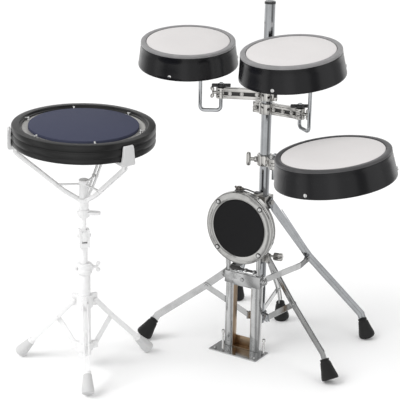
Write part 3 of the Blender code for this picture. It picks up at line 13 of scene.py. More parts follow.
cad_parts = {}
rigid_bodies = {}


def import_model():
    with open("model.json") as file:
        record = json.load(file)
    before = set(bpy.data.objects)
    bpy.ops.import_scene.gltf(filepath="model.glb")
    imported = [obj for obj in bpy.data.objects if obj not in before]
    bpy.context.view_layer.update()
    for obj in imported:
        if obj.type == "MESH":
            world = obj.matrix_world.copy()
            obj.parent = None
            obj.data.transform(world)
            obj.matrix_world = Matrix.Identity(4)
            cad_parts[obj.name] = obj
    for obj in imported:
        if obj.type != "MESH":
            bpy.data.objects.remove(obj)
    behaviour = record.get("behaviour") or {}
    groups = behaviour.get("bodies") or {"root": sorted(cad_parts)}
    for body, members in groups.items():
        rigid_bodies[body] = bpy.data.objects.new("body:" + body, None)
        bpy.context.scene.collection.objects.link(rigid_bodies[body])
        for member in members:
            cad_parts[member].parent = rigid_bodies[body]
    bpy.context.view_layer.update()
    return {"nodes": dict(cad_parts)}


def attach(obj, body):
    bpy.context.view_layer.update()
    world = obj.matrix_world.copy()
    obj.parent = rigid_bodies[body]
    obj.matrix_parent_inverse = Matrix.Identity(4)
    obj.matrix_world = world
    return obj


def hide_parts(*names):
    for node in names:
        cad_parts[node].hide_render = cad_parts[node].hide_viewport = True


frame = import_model()

UP = Vector((0.0, 0.0, 1.0))
HERE = Matrix.Identity(4)
BOTH_WAYS = (-1.0, 1.0)

# Clearance between pieces that turn or slide on each other
SLIP = 0.0003
# Edges that turn further than this, in degrees, stay sharp in the shading
SMOOTH_LIMIT = 38.0

# Post, hub and tripod
POST_AXIS = Vector((0.006, 0.0925, 0.0))
POST_RADIUS = 0.0127
POST_TOP = 0.857
POST_BORE = POST_RADIUS + SLIP
CLAMP_RING = POST_BORE + 0.0068
HUB_Z = 0.2285
HUB_RING = POST_BORE + 0.0046
HUB_SCREW_TO = 15.0
# Each leg: its direction, its sole's distance from the post, its boot's lean and its elbow
TRIPOD = {
    "left": (213.0, 0.2925, 33.0, Vector((0.137, 0.146))),
    "right": (335.0, 0.2925, 33.0, Vector((0.137, 0.145))),
    "rear": (97.0, 0.152, 15.0, Vector((0.125, 0.094))),
}
BOOT_LENGTH = 0.050
BOOT_BASE = 0.0203
# The part of a boot's base radius that its tilted sole stands on
SOLE_SHARE = 0.94
# How far up a leg from its boot's neck it bends
BEND_RISE = 0.014

# Stays behind the post: fold and sole are (sideways, back) in the turned bracket
BRACKET_TURN = -5.0
STAYS = {"right": 1.0, "left": -1.0}
STAY_FOLD = Vector((0.01855, 0.013))
STAY_SOLE = Vector((0.206, 0.1878))
STAY_TOP = Vector((0.0, 0.368))
STAY_CLIP = Vector((0.0967, 0.2235))
STAY_LEAN = 18.0

# Kick pad, the bar on top of it, and the floor spurs (x, y, height)
KICK_CENTRE = Vector((0.0, -0.0155, 0.326))
KICK_DISC = 0.070
KICK_RIM = 0.0905
KICK_RIM_DEPTH = 0.012
KICK_DEPTH = 0.0277
KICK_SCREW_CIRCLE = 0.081
KICK_BAR_TO = -97.3
KICK_BAR_LINE = [(0.0185, 0.396), (0.031, 0.396), (0.079, 0.41805), (0.1065, 0.41805)]
KICK_BAR_NUT = Vector((0.0985, 0.4190))
SPURS = {"left": (-0.036, -0.014, 0.055), "right": (0.060, 0.022, 0.040)}
THREAD_PITCH = 0.0016

# Each tom pad: top centre, ring diameter, lean, the direction it leans to, the direction of a side screw
TOMS = {
    "left": (Vector((-0.2017, 0.0627, 0.7474)), 0.2304, 10.2, -62.6, -78.0),
    "right": (Vector((0.1246, -0.0165, 0.7701)), 0.2304, 10.25, -91.0, -82.0),
    "side": (Vector((0.2995, -0.1383, 0.5885)), 0.2500, 8.7, -135.5, -91.0),
}
RIM_WIDTH = 0.0125
RIM_HEIGHT = 0.0055
SKIRT_HEIGHT = 0.060
SKIRT_FLARE = 0.007
SKIRT_WALL = 0.0035
SKIRT_TOP = RIM_HEIGHT + SLIP
SKIRT_CEILING = SKIRT_TOP + 0.004

# Each clamp arm: its height, its direction, its reach to the rod and the length of its tail
ARMS = {"left": (0.634, 204.0, 0.111, 0.025), "right": (0.602, 357.5, 0.092, 0.035)}
ARM_HEIGHT = 0.026
ARM_HALF = 0.0085
ARM_END = 0.0125
LEVER_TURN = 36.0
SIDE_CLAMP_Z = 0.474
SIDE_CLAMP_TO = -30.0
SIDE_CLAMP_REACH = 0.042
SIDE_CLAMP_TAIL = 0.022
SIDE_KNOB_TO = 204.0

# Each bent rod: where its pad end stands (x, y) and the height of its lowest run
RODS = {
    "left": (-0.1385, 0.0225, 0.5905),
    "right": (0.1378, 0.0600, 0.5690),
    "side": (0.2445, -0.0950, 0.4980),
}
ROD_RADIUS = 0.0045
ROD_BEND = 0.0105
KNUCKLE_DROP = 0.046
KNUCKLE_RADIUS = 0.009
KNUCKLE_WIDTH = 0.013

# Snare pad
STAND_AXIS = Vector((-0.260, -0.2795, 0.0))
SNARE_LEAN = 3.9
SNARE_LEAN_TO = -42.0
TILTER_Z = 0.330
SNARE_RISE = 0.2734
HOOP_RADIUS = 0.1625
HOOP_INNER = 0.1440
HOOP_HEIGHT = 0.044
SNARE_DISC = 0.1245
SNARE_PLATE_TOP = -0.009
LUG_CIRCLE = 0.1335

# Snare stand
BASKET_TURNS = (25.0, 145.0, 265.0)
STAND_TUBE = 0.014
STAND_CLAMP = 0.0185
STAND_CLAMP_Z = 0.251
STAND_COLLAR_Z = 0.052
STAND_TO = {"left": 196.0, "right": 63.0, "front": 310.0}
STAND_PIVOT = Vector((0.0257, 0.168))
STAND_ELBOW = Vector((0.070, 0.118))
STAND_SOLE = 0.172
STAND_LEAN = 42.0
STAND_FOOT_LENGTH = 0.046
STAND_FOOT_BASE = 0.0145

# What the chrome mirrors: grey levels round the room from -X through -Y, and from its floor to its ceiling
CARDS = [(0.0, 0.95), (0.02, 0.90), (0.04, 0.55), (0.10, 0.60), (0.125, 1.25), (0.17, 1.20), (0.185, 0.50),
         (0.20, 0.50), (0.215, 0.95), (0.27, 1.00), (0.30, 1.35), (0.335, 1.30), (0.35, 0.90), (0.43, 0.95),
         (0.442, 0.28), (0.485, 0.28), (0.50, 1.20), (0.59, 1.00), (0.61, 0.60), (0.68, 0.50), (0.70, 1.2),
         (0.74, 1.2), (0.76, 0.85), (0.89, 0.90), (0.91, 1.3), (0.97, 1.2)]
CEILING = [(0.0, 0.70), (0.20, 0.75), (0.30, 0.95), (0.52, 1.00), (0.655, 1.0), (0.67, 0.25), (0.71, 0.30),
           (0.75, 1.1), (0.82, 1.4), (0.86, 0.45), (0.91, 0.40), (0.95, 1.1)]
# Strength of the room for every ray but the camera's own
ROOM_STRENGTH = 0.79


# Nodes and finishes

class Value:
    """An output in a node tree. Sums on it add Math nodes."""

    def __init__(self, nodes, socket):
        self.nodes = nodes
        self.socket = socket

    def _sum(self, operation, first, second):
        return self.nodes.node("ShaderNodeMath", {"operation": operation}, {0: first, 1: second})

    def __add__(self, other):
        return self._sum("ADD", self, other)

    def __sub__(self, other):
        return self._sum("SUBTRACT", self, other)

    def __rsub__(self, other):
        return self._sum("SUBTRACT", other, self)

    def __mul__(self, other):
        return self._sum("MULTIPLY", self, other)

    __radd__, __rmul__ = __add__, __mul__

    def past(self, level, softness):
        """0 below the level and 1 above it."""
        return self.nodes.node("ShaderNodeMapRange", {"interpolation_type": "SMOOTHSTEP"},
                               {"Value": self, "From Min": level - softness, "From Max": level + softness})


class Nodes:
    """A node tree, in which one method makes every node."""

    def __init__(self, tree):
        self.tree = tree

    def put(self, socket, value):
        if isinstance(value, Value):
            self.tree.links.new(value.socket, socket)
        else:
            socket.default_value = value

    def node(self, kind, settings, values, output=0):
        """A node's output. Its settings come first, a ramp's grey stops among them, and then its sockets."""
        made = self.tree.nodes.new(kind)
        for setting, value in settings.items():
            if setting == "stops":
                self._set_stops(made.color_ramp.elements, value)
            else:
                setattr(made, setting, value)
        for socket, value in values.items():
            self.put(made.inputs[socket], value)
        return Value(self, made.outputs[output])

    def _set_stops(self, elements, stops):
        while len(elements) < len(stops):
            elements.new(0.5)
        for element, (position, grey) in zip(elements, stops):
            element.position = position
            element.color = (grey, grey, grey, 1.0)


class Finish(Nodes):
    """A procedural material, built round one Principled shader."""

    def __init__(self, name, colour, roughness, metallic=0.0, gloss=0.5):
        self.material = bpy.data.materials.new(name)
        self.material.use_nodes = True
        super().__init__(self.material.node_tree)
        self.shader = self.tree.nodes["Principled BSDF"]
        self.colour = (*colour, 1.0)
        self.feed("Base Color", self.colour)
        self.feed("Roughness", roughness)
        self.feed("Metallic", metallic)
        self.feed("Specular IOR Level", gloss)
        self.place = self.node("ShaderNodeTexCoord", {}, {}, "Object")

    def feed(self, socket, value):
        self.put(self.shader.inputs[socket], value)

    def stretched(self, scale):
        """The place scaled along its axes, which draws a pattern out into lines."""
        return self.node("ShaderNodeMapping", {}, {"Vector": self.place, "Scale": scale})

    def noise(self, scale, detail=3.0, roughness=0.5, place=None):
        return self.node("ShaderNodeTexNoise", {}, {"Vector": place or self.place, "Scale": scale,
                                                   "Detail": detail, "Roughness": roughness}, "Fac")

    def cells(self, scale):
        return self.node("ShaderNodeTexVoronoi", {}, {"Vector": self.place, "Scale": scale}, "Distance")

    def bands(self, scale, direction):
        return self.node("ShaderNodeTexWave", {"wave_type": "BANDS", "bands_direction": direction},
                         {"Vector": self.place, "Scale": scale, "Distortion": 0.4}, "Fac")

    def tint(self, share, colour):
        """A colour laid over the finish's own, by a share from 0 to 1."""
        return self.node("ShaderNodeMix", {"data_type": "RGBA"},
                         {"Factor": share, 6: self.colour, 7: (*colour, 1.0)}, 2)

    def bump(self, height, strength, distance):
        self.feed("Normal", self.node("ShaderNodeBump", {}, {"Height": height, "Strength": strength,
                                                             "Distance": distance}, "Normal"))


def toned(colour, factor):
    return tuple(factor * channel for channel in colour)


def polished_chrome(name, roughness, colour, waves=0.35, brushing=(1.0, 1.0, 1.0)):
    """Plated tube or casting: bright, with faint cloudy handling marks and fine polishing lines."""
    finish = Finish(name, colour, roughness, 1.0)
    clouds = finish.noise(38.0, 4.0).past(0.56, 0.16)
    lines = finish.noise(900.0, 2.0, 0.6, finish.stretched(brushing))
    finish.feed("Roughness", roughness + 0.05 * clouds + 0.04 * lines)
    finish.feed("Base Color", finish.tint(0.4 * clouds, toned(colour, 0.72)))
    finish.bump(0.3 * lines + 9.0 * waves * finish.noise(26.0, 2.0), 0.16, 0.0003)
    return finish.material


def moulded_black(name, colour, roughness, grain, dust=0.3, gloss=0.5):
    """Black moulded plastic or rubber: a fine mould grain, light dust and duller patches."""
    finish = Finish(name, colour, roughness, gloss=gloss)
    pits = finish.cells(1400.0)
    patches = finish.noise(22.0, 4.0)
    specks = finish.noise(420.0, 2.0).past(0.69, 0.03)
    finish.feed("Roughness", roughness + 0.12 * (patches - 0.5) + 0.10 * specks)
    finish.feed("Base Color", finish.tint(dust * (0.35 * patches + 0.65 * specks), (0.06, 0.06, 0.062)))
    finish.bump(pits + 0.6 * finish.noise(700.0), grain, 0.0003)
    return finish.material


def pad_skin(name, colour, speck, roughness, weave_scale, relief):
    """The playing surface: a dense rubber skin with a fine woven emboss and faint play marks."""
    finish = Finish(name, colour, roughness, gloss=0.22)
    weave = finish.bands(weave_scale, "X") * finish.bands(weave_scale, "Y")
    worn = finish.noise(9.0, 3.0).past(0.55, 0.2)
    grains = finish.noise(1500.0, 2.0).past(0.6, 0.08)
    finish.feed("Base Color", finish.tint(0.18 * worn + 0.30 * grains, speck))
    finish.feed("Roughness", roughness + 0.10 * worn)
    finish.bump(weave + 0.5 * grains, relief, 0.0002)
    return finish.material


def satin_ring(name, colour):
    """Grey satin ring: a fine spray grain, with slightly paler rubbed places."""
    finish = Finish(name, colour, 0.32)
    rubbed = finish.noise(60.0, 4.0).past(0.58, 0.12)
    grain = finish.noise(1800.0, 2.0)
    finish.feed("Base Color", finish.tint(0.3 * rubbed, toned(colour, 1.5)))
    finish.feed("Roughness", 0.28 + 0.10 * grain - 0.05 * rubbed)
    finish.bump(grain, 0.25, 0.0002)
    return finish.material


def pale_paint(name, colour, roughness, relief=0.18):
    """Pale powder coat or pale rubber, with a soft orange-peel surface and faint grey marks."""
    finish = Finish(name, colour, roughness)
    peel = finish.noise(520.0, 2.0)
    marks = finish.noise(30.0, 5.0, 0.6).past(0.62, 0.10)
    finish.feed("Base Color", finish.tint(0.30 * marks, toned(colour, 0.82)))
    finish.feed("Roughness", roughness + 0.10 * marks)
    finish.bump(peel, relief, 0.0003)
    return finish.material


CHROME_TUBE = polished_chrome("chrome_tube", 0.05, (0.45, 0.462, 0.475), 0.06, brushing=(1.0, 1.0, 0.02))
CHROME_CAST = polished_chrome("chrome_casting", 0.08, (0.54, 0.53, 0.51), 0.8)
CHROME_PRESSED = polished_chrome("chrome_pressed_steel", 0.10, (0.51, 0.513, 0.512), 0.8,
                                 brushing=(0.05, 1.0, 1.0))
CHROME_BRIGHT = polished_chrome("chrome_bright_rim", 0.06, (0.47, 0.467, 0.455), 2.6)
CHROME_SCREW = polished_chrome("chrome_screws", 0.12, (0.70, 0.70, 0.695))
SMOKED = polished_chrome("smoked_chrome", 0.15, (0.20, 0.185, 0.17))
BRONZED = polished_chrome("bronzed_tray_steel", 0.30, (0.42, 0.31, 0.21), 0.8)
# The dark finish: painted shade in screw sockets, in the arm slots and in the clamp gaps, and the colour of the
# tower's dark hinge parts and the kick screw washers
DARK_PARTS_AND_SHADE = moulded_black("dark_parts_and_painted_recess_shade", (0.035, 0.034, 0.033), 0.5, 0.3)
SKIRT_BLACK = moulded_black("satin_black_skirt", (0.006, 0.006, 0.007), 0.20, 0.05, dust=0.06, gloss=0.30)
LEVER_BLACK = moulded_black("black_lever_plastic", (0.024, 0.024, 0.025), 0.42, 0.25)
BOOT_RUBBER = moulded_black("boot_rubber", (0.008, 0.008, 0.008), 0.58, 0.35, dust=0.15, gloss=0.35)
HOOP_RUBBER = moulded_black("hoop_rubber", (0.005, 0.005, 0.005), 0.30, 0.10, dust=0.08, gloss=0.38)
# The kick bar's dark grey is painted shade over a grey steel plate
SHADE_DARKENED_BAR = moulded_black("grey_bar_painted_dark_as_shade", (0.075, 0.075, 0.078), 0.38, 0.12)
RING_GREY = satin_ring("satin_grey_ring", (0.215, 0.212, 0.215))
RING_DARK = satin_ring("satin_dark_ring", (0.050, 0.049, 0.051))
TOM_SKIN = pad_skin("off_white_pad_skin", (0.665, 0.645, 0.64), (0.58, 0.565, 0.56), 0.62, 260.0, 0.20)
KICK_SKIN = pad_skin("black_kick_skin", (0.008, 0.008, 0.009), (0.025, 0.025, 0.025), 0.72, 200.0, 0.50)
SNARE_SKIN = pad_skin("navy_pad_skin", (0.046, 0.051, 0.088), (0.08, 0.085, 0.12), 0.68, 240.0, 0.35)
STAND_PAINT = pale_paint("pale_stand_paint", (0.85, 0.85, 0.85), 0.42)
STAND_RUBBER = pale_paint("pale_grey_rubber", (0.60, 0.60, 0.60), 0.62, relief=0.40)
PLATE_GREY = pale_paint("snare_plate_grey", (0.36, 0.355, 0.34), 0.34)


# Studio: camera, lights, surroundings and floor

def add_camera():
    """The photograph's view: long lens, from the front right and a little above."""
    azimuth, pitch, roll = math.radians(32.5), math.radians(17.2), math.radians(1.0)
    ahead = Vector((-math.sin(azimuth) * math.cos(pitch), math.cos(azimuth) * math.cos(pitch),
                    -math.sin(pitch)))
    right = Vector((math.cos(azimuth), math.sin(azimuth), 0.0))
    above = right.cross(ahead)
    level = right * math.cos(roll) + above * math.sin(roll)
    tall = above * math.cos(roll) - right * math.sin(roll)
    camera = bpy.data.objects.new("camera", bpy.data.cameras.new("camera"))
    camera.data.lens = 108.0
    camera.data.sensor_width = 36.0
    camera.matrix_world = at(1.384, -2.3605, 1.238) @ Matrix((level, tall, -ahead)).transposed().to_4x4()
    bpy.context.scene.collection.objects.link(camera)
    bpy.context.scene.camera = camera


def add_light(name, kind, energy, where, towards, **settings):
    """A soft lamp that chrome doesn't mirror."""
    lamp = bpy.data.lights.new(name, kind)
    lamp.energy = energy
    for setting, value in settings.items():
        setattr(lamp, setting, value)
    light = bpy.data.objects.new(name, lamp)
    light.location = where
    light.rotation_euler = (Vector(towards) - Vector(where)).to_track_quat("-Z", "Y").to_euler()
    light.visible_glossy = False
    bpy.context.scene.collection.objects.link(light)


def add_surroundings():
    """A white room with tall dark and bright cards, which only reflections see."""
    world = bpy.data.worlds.new("studio")
    world.use_nodes = True
    bpy.context.scene.world = world
    room = Nodes(world.node_tree)
    room.tree.nodes.clear()
    heading = room.node("ShaderNodeTexCoord", {}, {}, "Generated")
    x, y, z = [room.node("ShaderNodeSeparateXYZ", {}, {0: heading}, axis) for axis in "XYZ"]
    turn = room.node("ShaderNodeMath", {"operation": "ARCTAN2"}, {0: y, 1: x})
    round_share = room.node("ShaderNodeMapRange", {},
                            {"Value": turn, "From Min": -math.pi, "From Max": math.pi})
    cards = room.node("ShaderNodeValToRGB", {"stops": CARDS}, {0: round_share})
    rise_share = room.node("ShaderNodeMapRange", {}, {"Value": z, "From Min": -1.0})
    ceiling = room.node("ShaderNodeValToRGB", {"stops": CEILING}, {0: rise_share})
    mirror = room.node("ShaderNodeMix", {"data_type": "RGBA", "blend_type": "MULTIPLY"},
                       {"Factor": 1.0, 6: cards, 7: ceiling}, 2)
    from_camera, from_gloss = [room.node("ShaderNodeLightPath", {}, {}, ray)
                               for ray in ("Is Camera Ray", "Is Glossy Ray")]
    strength = room.node("ShaderNodeMapRange", {},
                         {"Value": from_camera, "To Min": ROOM_STRENGTH, "To Max": 1.0})
    seen = room.node("ShaderNodeBackground", {}, {"Color": (1.0, 1.0, 1.0, 1.0), "Strength": strength})
    mirrored = room.node("ShaderNodeBackground", {}, {"Color": mirror})
    mixed = room.node("ShaderNodeMixShader", {}, {"Fac": from_gloss, 1: seen, 2: mirrored})
    room.put(room.tree.nodes.new("ShaderNodeOutputWorld").inputs["Surface"], mixed)


def add_floor():
    shape = bmesh.new()
    bmesh.ops.create_grid(shape, x_segments=2, y_segments=2, size=30.0)
    mesh = bpy.data.meshes.new("floor")
    shape.to_mesh(mesh)
    shape.free()
    finish = Finish("white_floor", (0.98, 0.98, 0.98), 0.75, gloss=0.1)
    finish.feed("Roughness", 0.70 + 0.1 * finish.noise(4.0))
    mesh.materials.append(finish.material)
    floor = bpy.data.objects.new("floor", mesh)
    floor.visible_glossy = False
    bpy.context.scene.collection.objects.link(floor)


# Places: matrices that put a shape where it belongs

def at(x, y, z):
    return Matrix.Translation((x, y, z))


def leaning(degrees):
    """Leans local Z towards local X."""
    return Matrix.Rotation(math.radians(degrees), 4, "Y")


def axes(origin, x_axis, y_axis):
    """A place whose local X and Y lie along two perpendicular directions."""
    x_axis, y_axis = Vector(x_axis).normalized(), Vector(y_axis).normalized()
    turn = Matrix((x_axis, y_axis, x_axis.cross(y_axis))).transposed().to_4x4()
    return Matrix.Translation(origin) @ turn


def facing(origin, outward):
    """A place whose local Z points outward."""
    return Matrix.Translation(origin) @ Vector(outward).to_track_quat("Z", "Y").to_matrix().to_4x4()


def upright(origin, degrees=0.0):
    """A place with Z up, whose local X points in a direction."""
    return Matrix.Translation(origin) @ Matrix.Rotation(math.radians(degrees), 4, "Z")


def polar(radius, degrees, height=0.0):
    """A point or vector from its distance, direction and height."""
    angle = math.radians(degrees)
    return Vector((radius * math.cos(angle), radius * math.sin(angle), height))


def placed(shapes, place):
    """The shapes with their own places put in another."""
    return [(shape, place @ local) for shape, local in shapes]


# Modelling: each shape is a bmesh in its own local frame

def turned(profile, steps=64, closed=False, soft=0.0, about=30.0):
    """A profile of (radius, height) points spun about local Z, with its sharp rings rounded."""
    bm = bmesh.new()
    corners = [bm.verts.new((radius, 0.0, height)) for radius, height in profile]
    edges = [bm.edges.new(pair) for pair in zip(corners, corners[1:] + (corners[:1] if closed else []))]
    bmesh.ops.spin(bm, geom=corners + edges, cent=(0, 0, 0), axis=(0, 0, 1), angle=math.tau, steps=steps,
                   use_merge=True)
    bmesh.ops.remove_doubles(bm, verts=bm.verts, dist=0.000002)
    bmesh.ops.recalc_face_normals(bm, faces=bm.faces)
    return softened(bm, soft, about) if soft else bm


def softened(bm, width, about=30.0, segments=2):
    """The shape with its sharp edges rounded."""
    sharp = [edge for edge in bm.edges
             if edge.is_manifold and edge.calc_face_angle(0.0) > math.radians(about)]
    bmesh.ops.bevel(bm, geom=sharp, offset=width, affect="EDGES", segments=segments, profile=0.5, material=-1,
                    clamp_overlap=True)
    return bm


def slab(outline, thickness, soft=0.0, about=50.0):
    """A flat outline in local XY, given a thickness to both sides."""
    bm = bmesh.new()
    face = bm.faces.new([bm.verts.new((x, y, -thickness / 2.0)) for x, y in outline])
    raised = bmesh.ops.extrude_face_region(bm, geom=[face])["geom"]
    bmesh.ops.translate(bm, verts=[item for item in raised if isinstance(item, bmesh.types.BMVert)],
                        vec=(0.0, 0.0, thickness))
    bmesh.ops.recalc_face_normals(bm, faces=bm.faces)
    return softened(bm, soft, about) if soft else bm


def block(size, soft, taper=1.0):
    """A rounded bar along X, whose +X end may be narrower."""
    bm = bmesh.new()
    bmesh.ops.create_cube(bm, size=1.0, matrix=Matrix.Diagonal((*size, 1.0)))
    bmesh.ops.scale(bm, vec=(1.0, taper, taper), verts=[vert for vert in bm.verts if vert.co.x > 0.0])
    return softened(bm, soft, 40.0)


def drum(start, end, radius, soft, end_radius=None, steps=32):
    """A round boss between two points, with rounded ends."""
    start, end = Vector(start), Vector(end)
    length = (end - start).length
    other = radius if end_radius is None else end_radius
    bm = turned([(0.0, 0.0), (radius, 0.0), (other, length), (0.0, length)], steps, soft=soft)
    bmesh.ops.transform(bm, matrix=facing(start, end - start), verts=bm.verts)
    return bm


def dark(bm):
    """The shape in its piece's second finish."""
    for face in bm.faces:
        face.material_index = 1
    return bm


def socket_screw(radius, height, sides=6):
    """A domed screw head on local Z, with a socket sunk in its top and painted dark as shade."""
    head = [(0.0, -0.4 * height), (radius, -0.4 * height), (radius, 0.45 * height),
            (0.86 * radius, 0.82 * height), (0.5 * radius, height), (0.0, height)]
    hole = bmesh.new()
    bmesh.ops.create_circle(hole, cap_ends=True, segments=sides, radius=0.42 * radius,
                            matrix=at(0.0, 0.0, 1.02 * height))
    hole.normal_update()
    bmesh.ops.inset_region(hole, faces=hole.faces[:], thickness=0.10 * radius, depth=-0.3 * height)
    return [turned(head, 24), dark(hole)]


def hex_bolt(radius, height):
    """A hexagon head on a washer, on local Z."""
    head = bmesh.new()
    bmesh.ops.create_cone(head, cap_ends=True, segments=6, radius1=radius, radius2=radius, depth=height,
                          matrix=at(0.0, 0.0, height / 2.0 + 0.0004))
    washer = [(0.0, -0.0004), (1.25 * radius, -0.0004), (1.25 * radius, 0.0007), (0.0, 0.0007)]
    return [softened(head, 0.10 * radius, 25.0), turned(washer, 32, soft=0.0002)]


def wing_nut(stem, span, depth, thickness, core=0.0042):
    """A cast wing nut: its foot at the origin, its boss along local Y and its two ears along X."""
    top = stem + 0.55 * depth
    shapes = [drum((0.0, 0.0, 0.0), (0.0, top, 0.0), core, 0.0008, 0.74 * core)]
    for way in BOTH_WAYS:
        ear = bmesh.new()
        place = (at(way * 0.30 * span, stem + 0.52 * depth, 0.0)
                 @ Matrix.Rotation(way * math.radians(32.0), 4, "Z")
                 @ Matrix.Diagonal((0.215 * span, 0.42 * depth, 0.5 * thickness, 1.0)))
        bmesh.ops.create_uvsphere(ear, u_segments=20, v_segments=12, radius=1.0, matrix=place)
        shapes.append(ear)
    return shapes


def knurled(radius, length, ridges=28):
    """A round knob along local Z with a ridged grip and a domed end."""
    grip = turned([(0.0, 0.0), (0.86 * radius, 0.0), (radius, 0.08 * length), (radius, 0.86 * length),
                   (0.90 * radius, 0.95 * length), (0.6 * radius, length), (0.0, length)], 2 * ridges)
    for vert in grip.verts:
        if vert.co.xy.length > 0.9 * radius and 0.05 * length < vert.co.z < 0.9 * length:
            step = round(math.atan2(vert.co.y, vert.co.x) / math.tau * 2 * ridges)
            if step % 2:
                vert.co.xy *= 0.90
    return grip


def tube(points, radius, steps=6):
    """A round bar along a line of points, with closed ends."""
    curve = bpy.data.curves.new("bar", "CURVE")
    curve.dimensions = "3D"
    curve.bevel_depth = radius
    curve.bevel_resolution = steps
    curve.use_fill_caps = True
    spline = curve.splines.new("POLY")
    spline.points.add(len(points) - 1)
    for point, place in zip(spline.points, points):
        point.co = (*place, 1.0)
    holder = bpy.data.objects.new("bar", curve)
    bpy.context.scene.collection.objects.link(holder)
    bpy.context.view_layer.update()
    bm = bmesh.new()
    mesh = bpy.data.meshes.new_from_object(holder.evaluated_get(bpy.context.evaluated_depsgraph_get()))
    bm.from_mesh(mesh)
    for spare, store in ((holder, bpy.data.objects), (curve, bpy.data.curves), (mesh, bpy.data.meshes)):
        store.remove(spare)
    bmesh.ops.remove_doubles(bm, verts=bm.verts, dist=0.00002)
    bmesh.ops.recalc_face_normals(bm, faces=bm.faces)
    return softened(bm, 0.12 * radius, 60.0)


def rounded_line(points, radius, steps=8):
    """The points with each inner corner turned into an arc."""
    line = [Vector(points[0])]
    for before, corner, after in zip(points, points[1:], points[2:]):
        corner = Vector(corner)
        back, ahead = (Vector(before) - corner).normalized(), (Vector(after) - corner).normalized()
        half = back.angle(ahead) / 2.0
        centre = corner + (back + ahead).normalized() * (radius / math.sin(half))
        start = (corner + back * (radius / math.tan(half)) - centre).normalized()
        end = (corner + ahead * (radius / math.tan(half)) - centre).normalized()
        line += [centre + start.slerp(end, step / steps) * radius for step in range(steps + 1)]
    return line + [Vector(points[-1])]


def band(points, width):
    """The outline of a flat strip of one width along 2D points."""
    left, right = [], []
    points = [Vector(point) for point in points]
    for index, point in enumerate(points):
        before = (point - points[index - 1]).normalized() if index else None
        after = (points[index + 1] - point).normalized() if index + 1 < len(points) else None
        along = ((before or after) + (after or before)).normalized()
        across = Vector((-along.y, along.x)) * (width / 2.0 / max(0.5, along.dot(after or before)))
        left.append(point + across)
        right.append(point - across)
    return [tuple(point) for point in right + left[::-1]]


def beside(points, offset):
    """The line that runs beside 2D points, to their left by an offset."""
    edges = band(points, 2.0 * abs(offset))
    half = len(edges) // 2
    return [Vector(point) for point in (edges[:half] if offset < 0.0 else edges[half:][::-1])]


def add_piece(name, shapes, finishes, body, slot, *nodes):
    """Join placed shapes into one piece that rides on a body and stands for the named nodes."""
    whole = bmesh.new()
    for shape, place in shapes:
        for bm in shape if isinstance(shape, list) else [shape]:
            part = bpy.data.meshes.new(name)
            bmesh.ops.transform(bm, matrix=place, verts=bm.verts)
            bm.to_mesh(part)
            bm.free()
            whole.from_mesh(part)
            bpy.data.meshes.remove(part)
    mesh = bpy.data.meshes.new(name)
    whole.to_mesh(mesh)
    whole.free()
    for finish in finishes:
        mesh.materials.append(finish)
    mesh.shade_smooth()
    mesh.set_sharp_from_angle(angle=math.radians(SMOOTH_LIMIT))
    piece = bpy.data.objects.new(name, mesh)
    bpy.context.scene.collection.objects.link(piece)
    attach(piece, body)
    if nodes:
        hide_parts(*nodes)


def refinish(finish, *nodes):
    """Give CAD nodes that stay in view a better finish."""
    for node in nodes:
        mesh = frame["nodes"][node].data
        mesh.materials.clear()
        mesh.materials.append(finish)


# Tom pads

def pad_place(side):
    """The place of a tom pad: origin at its top centre, Z out of its skin, X the way it leans."""
    centre, _, lean, lean_to, _ = TOMS[side]
    return upright(centre, lean_to) @ leaning(lean)


def knuckle_of(side):
    """The middle of a pad's hinge, straight above its rod and at the knuckle's depth under the pad."""
    place = pad_place(side)
    normal = place.to_3x3() @ UP
    x, y, _ = RODS[side]
    centre = place.translation
    rise = (normal.x * (x - centre.x) + normal.y * (y - centre.y) + KNUCKLE_DROP) / normal.z
    return Vector((x, y, centre.z - rise))


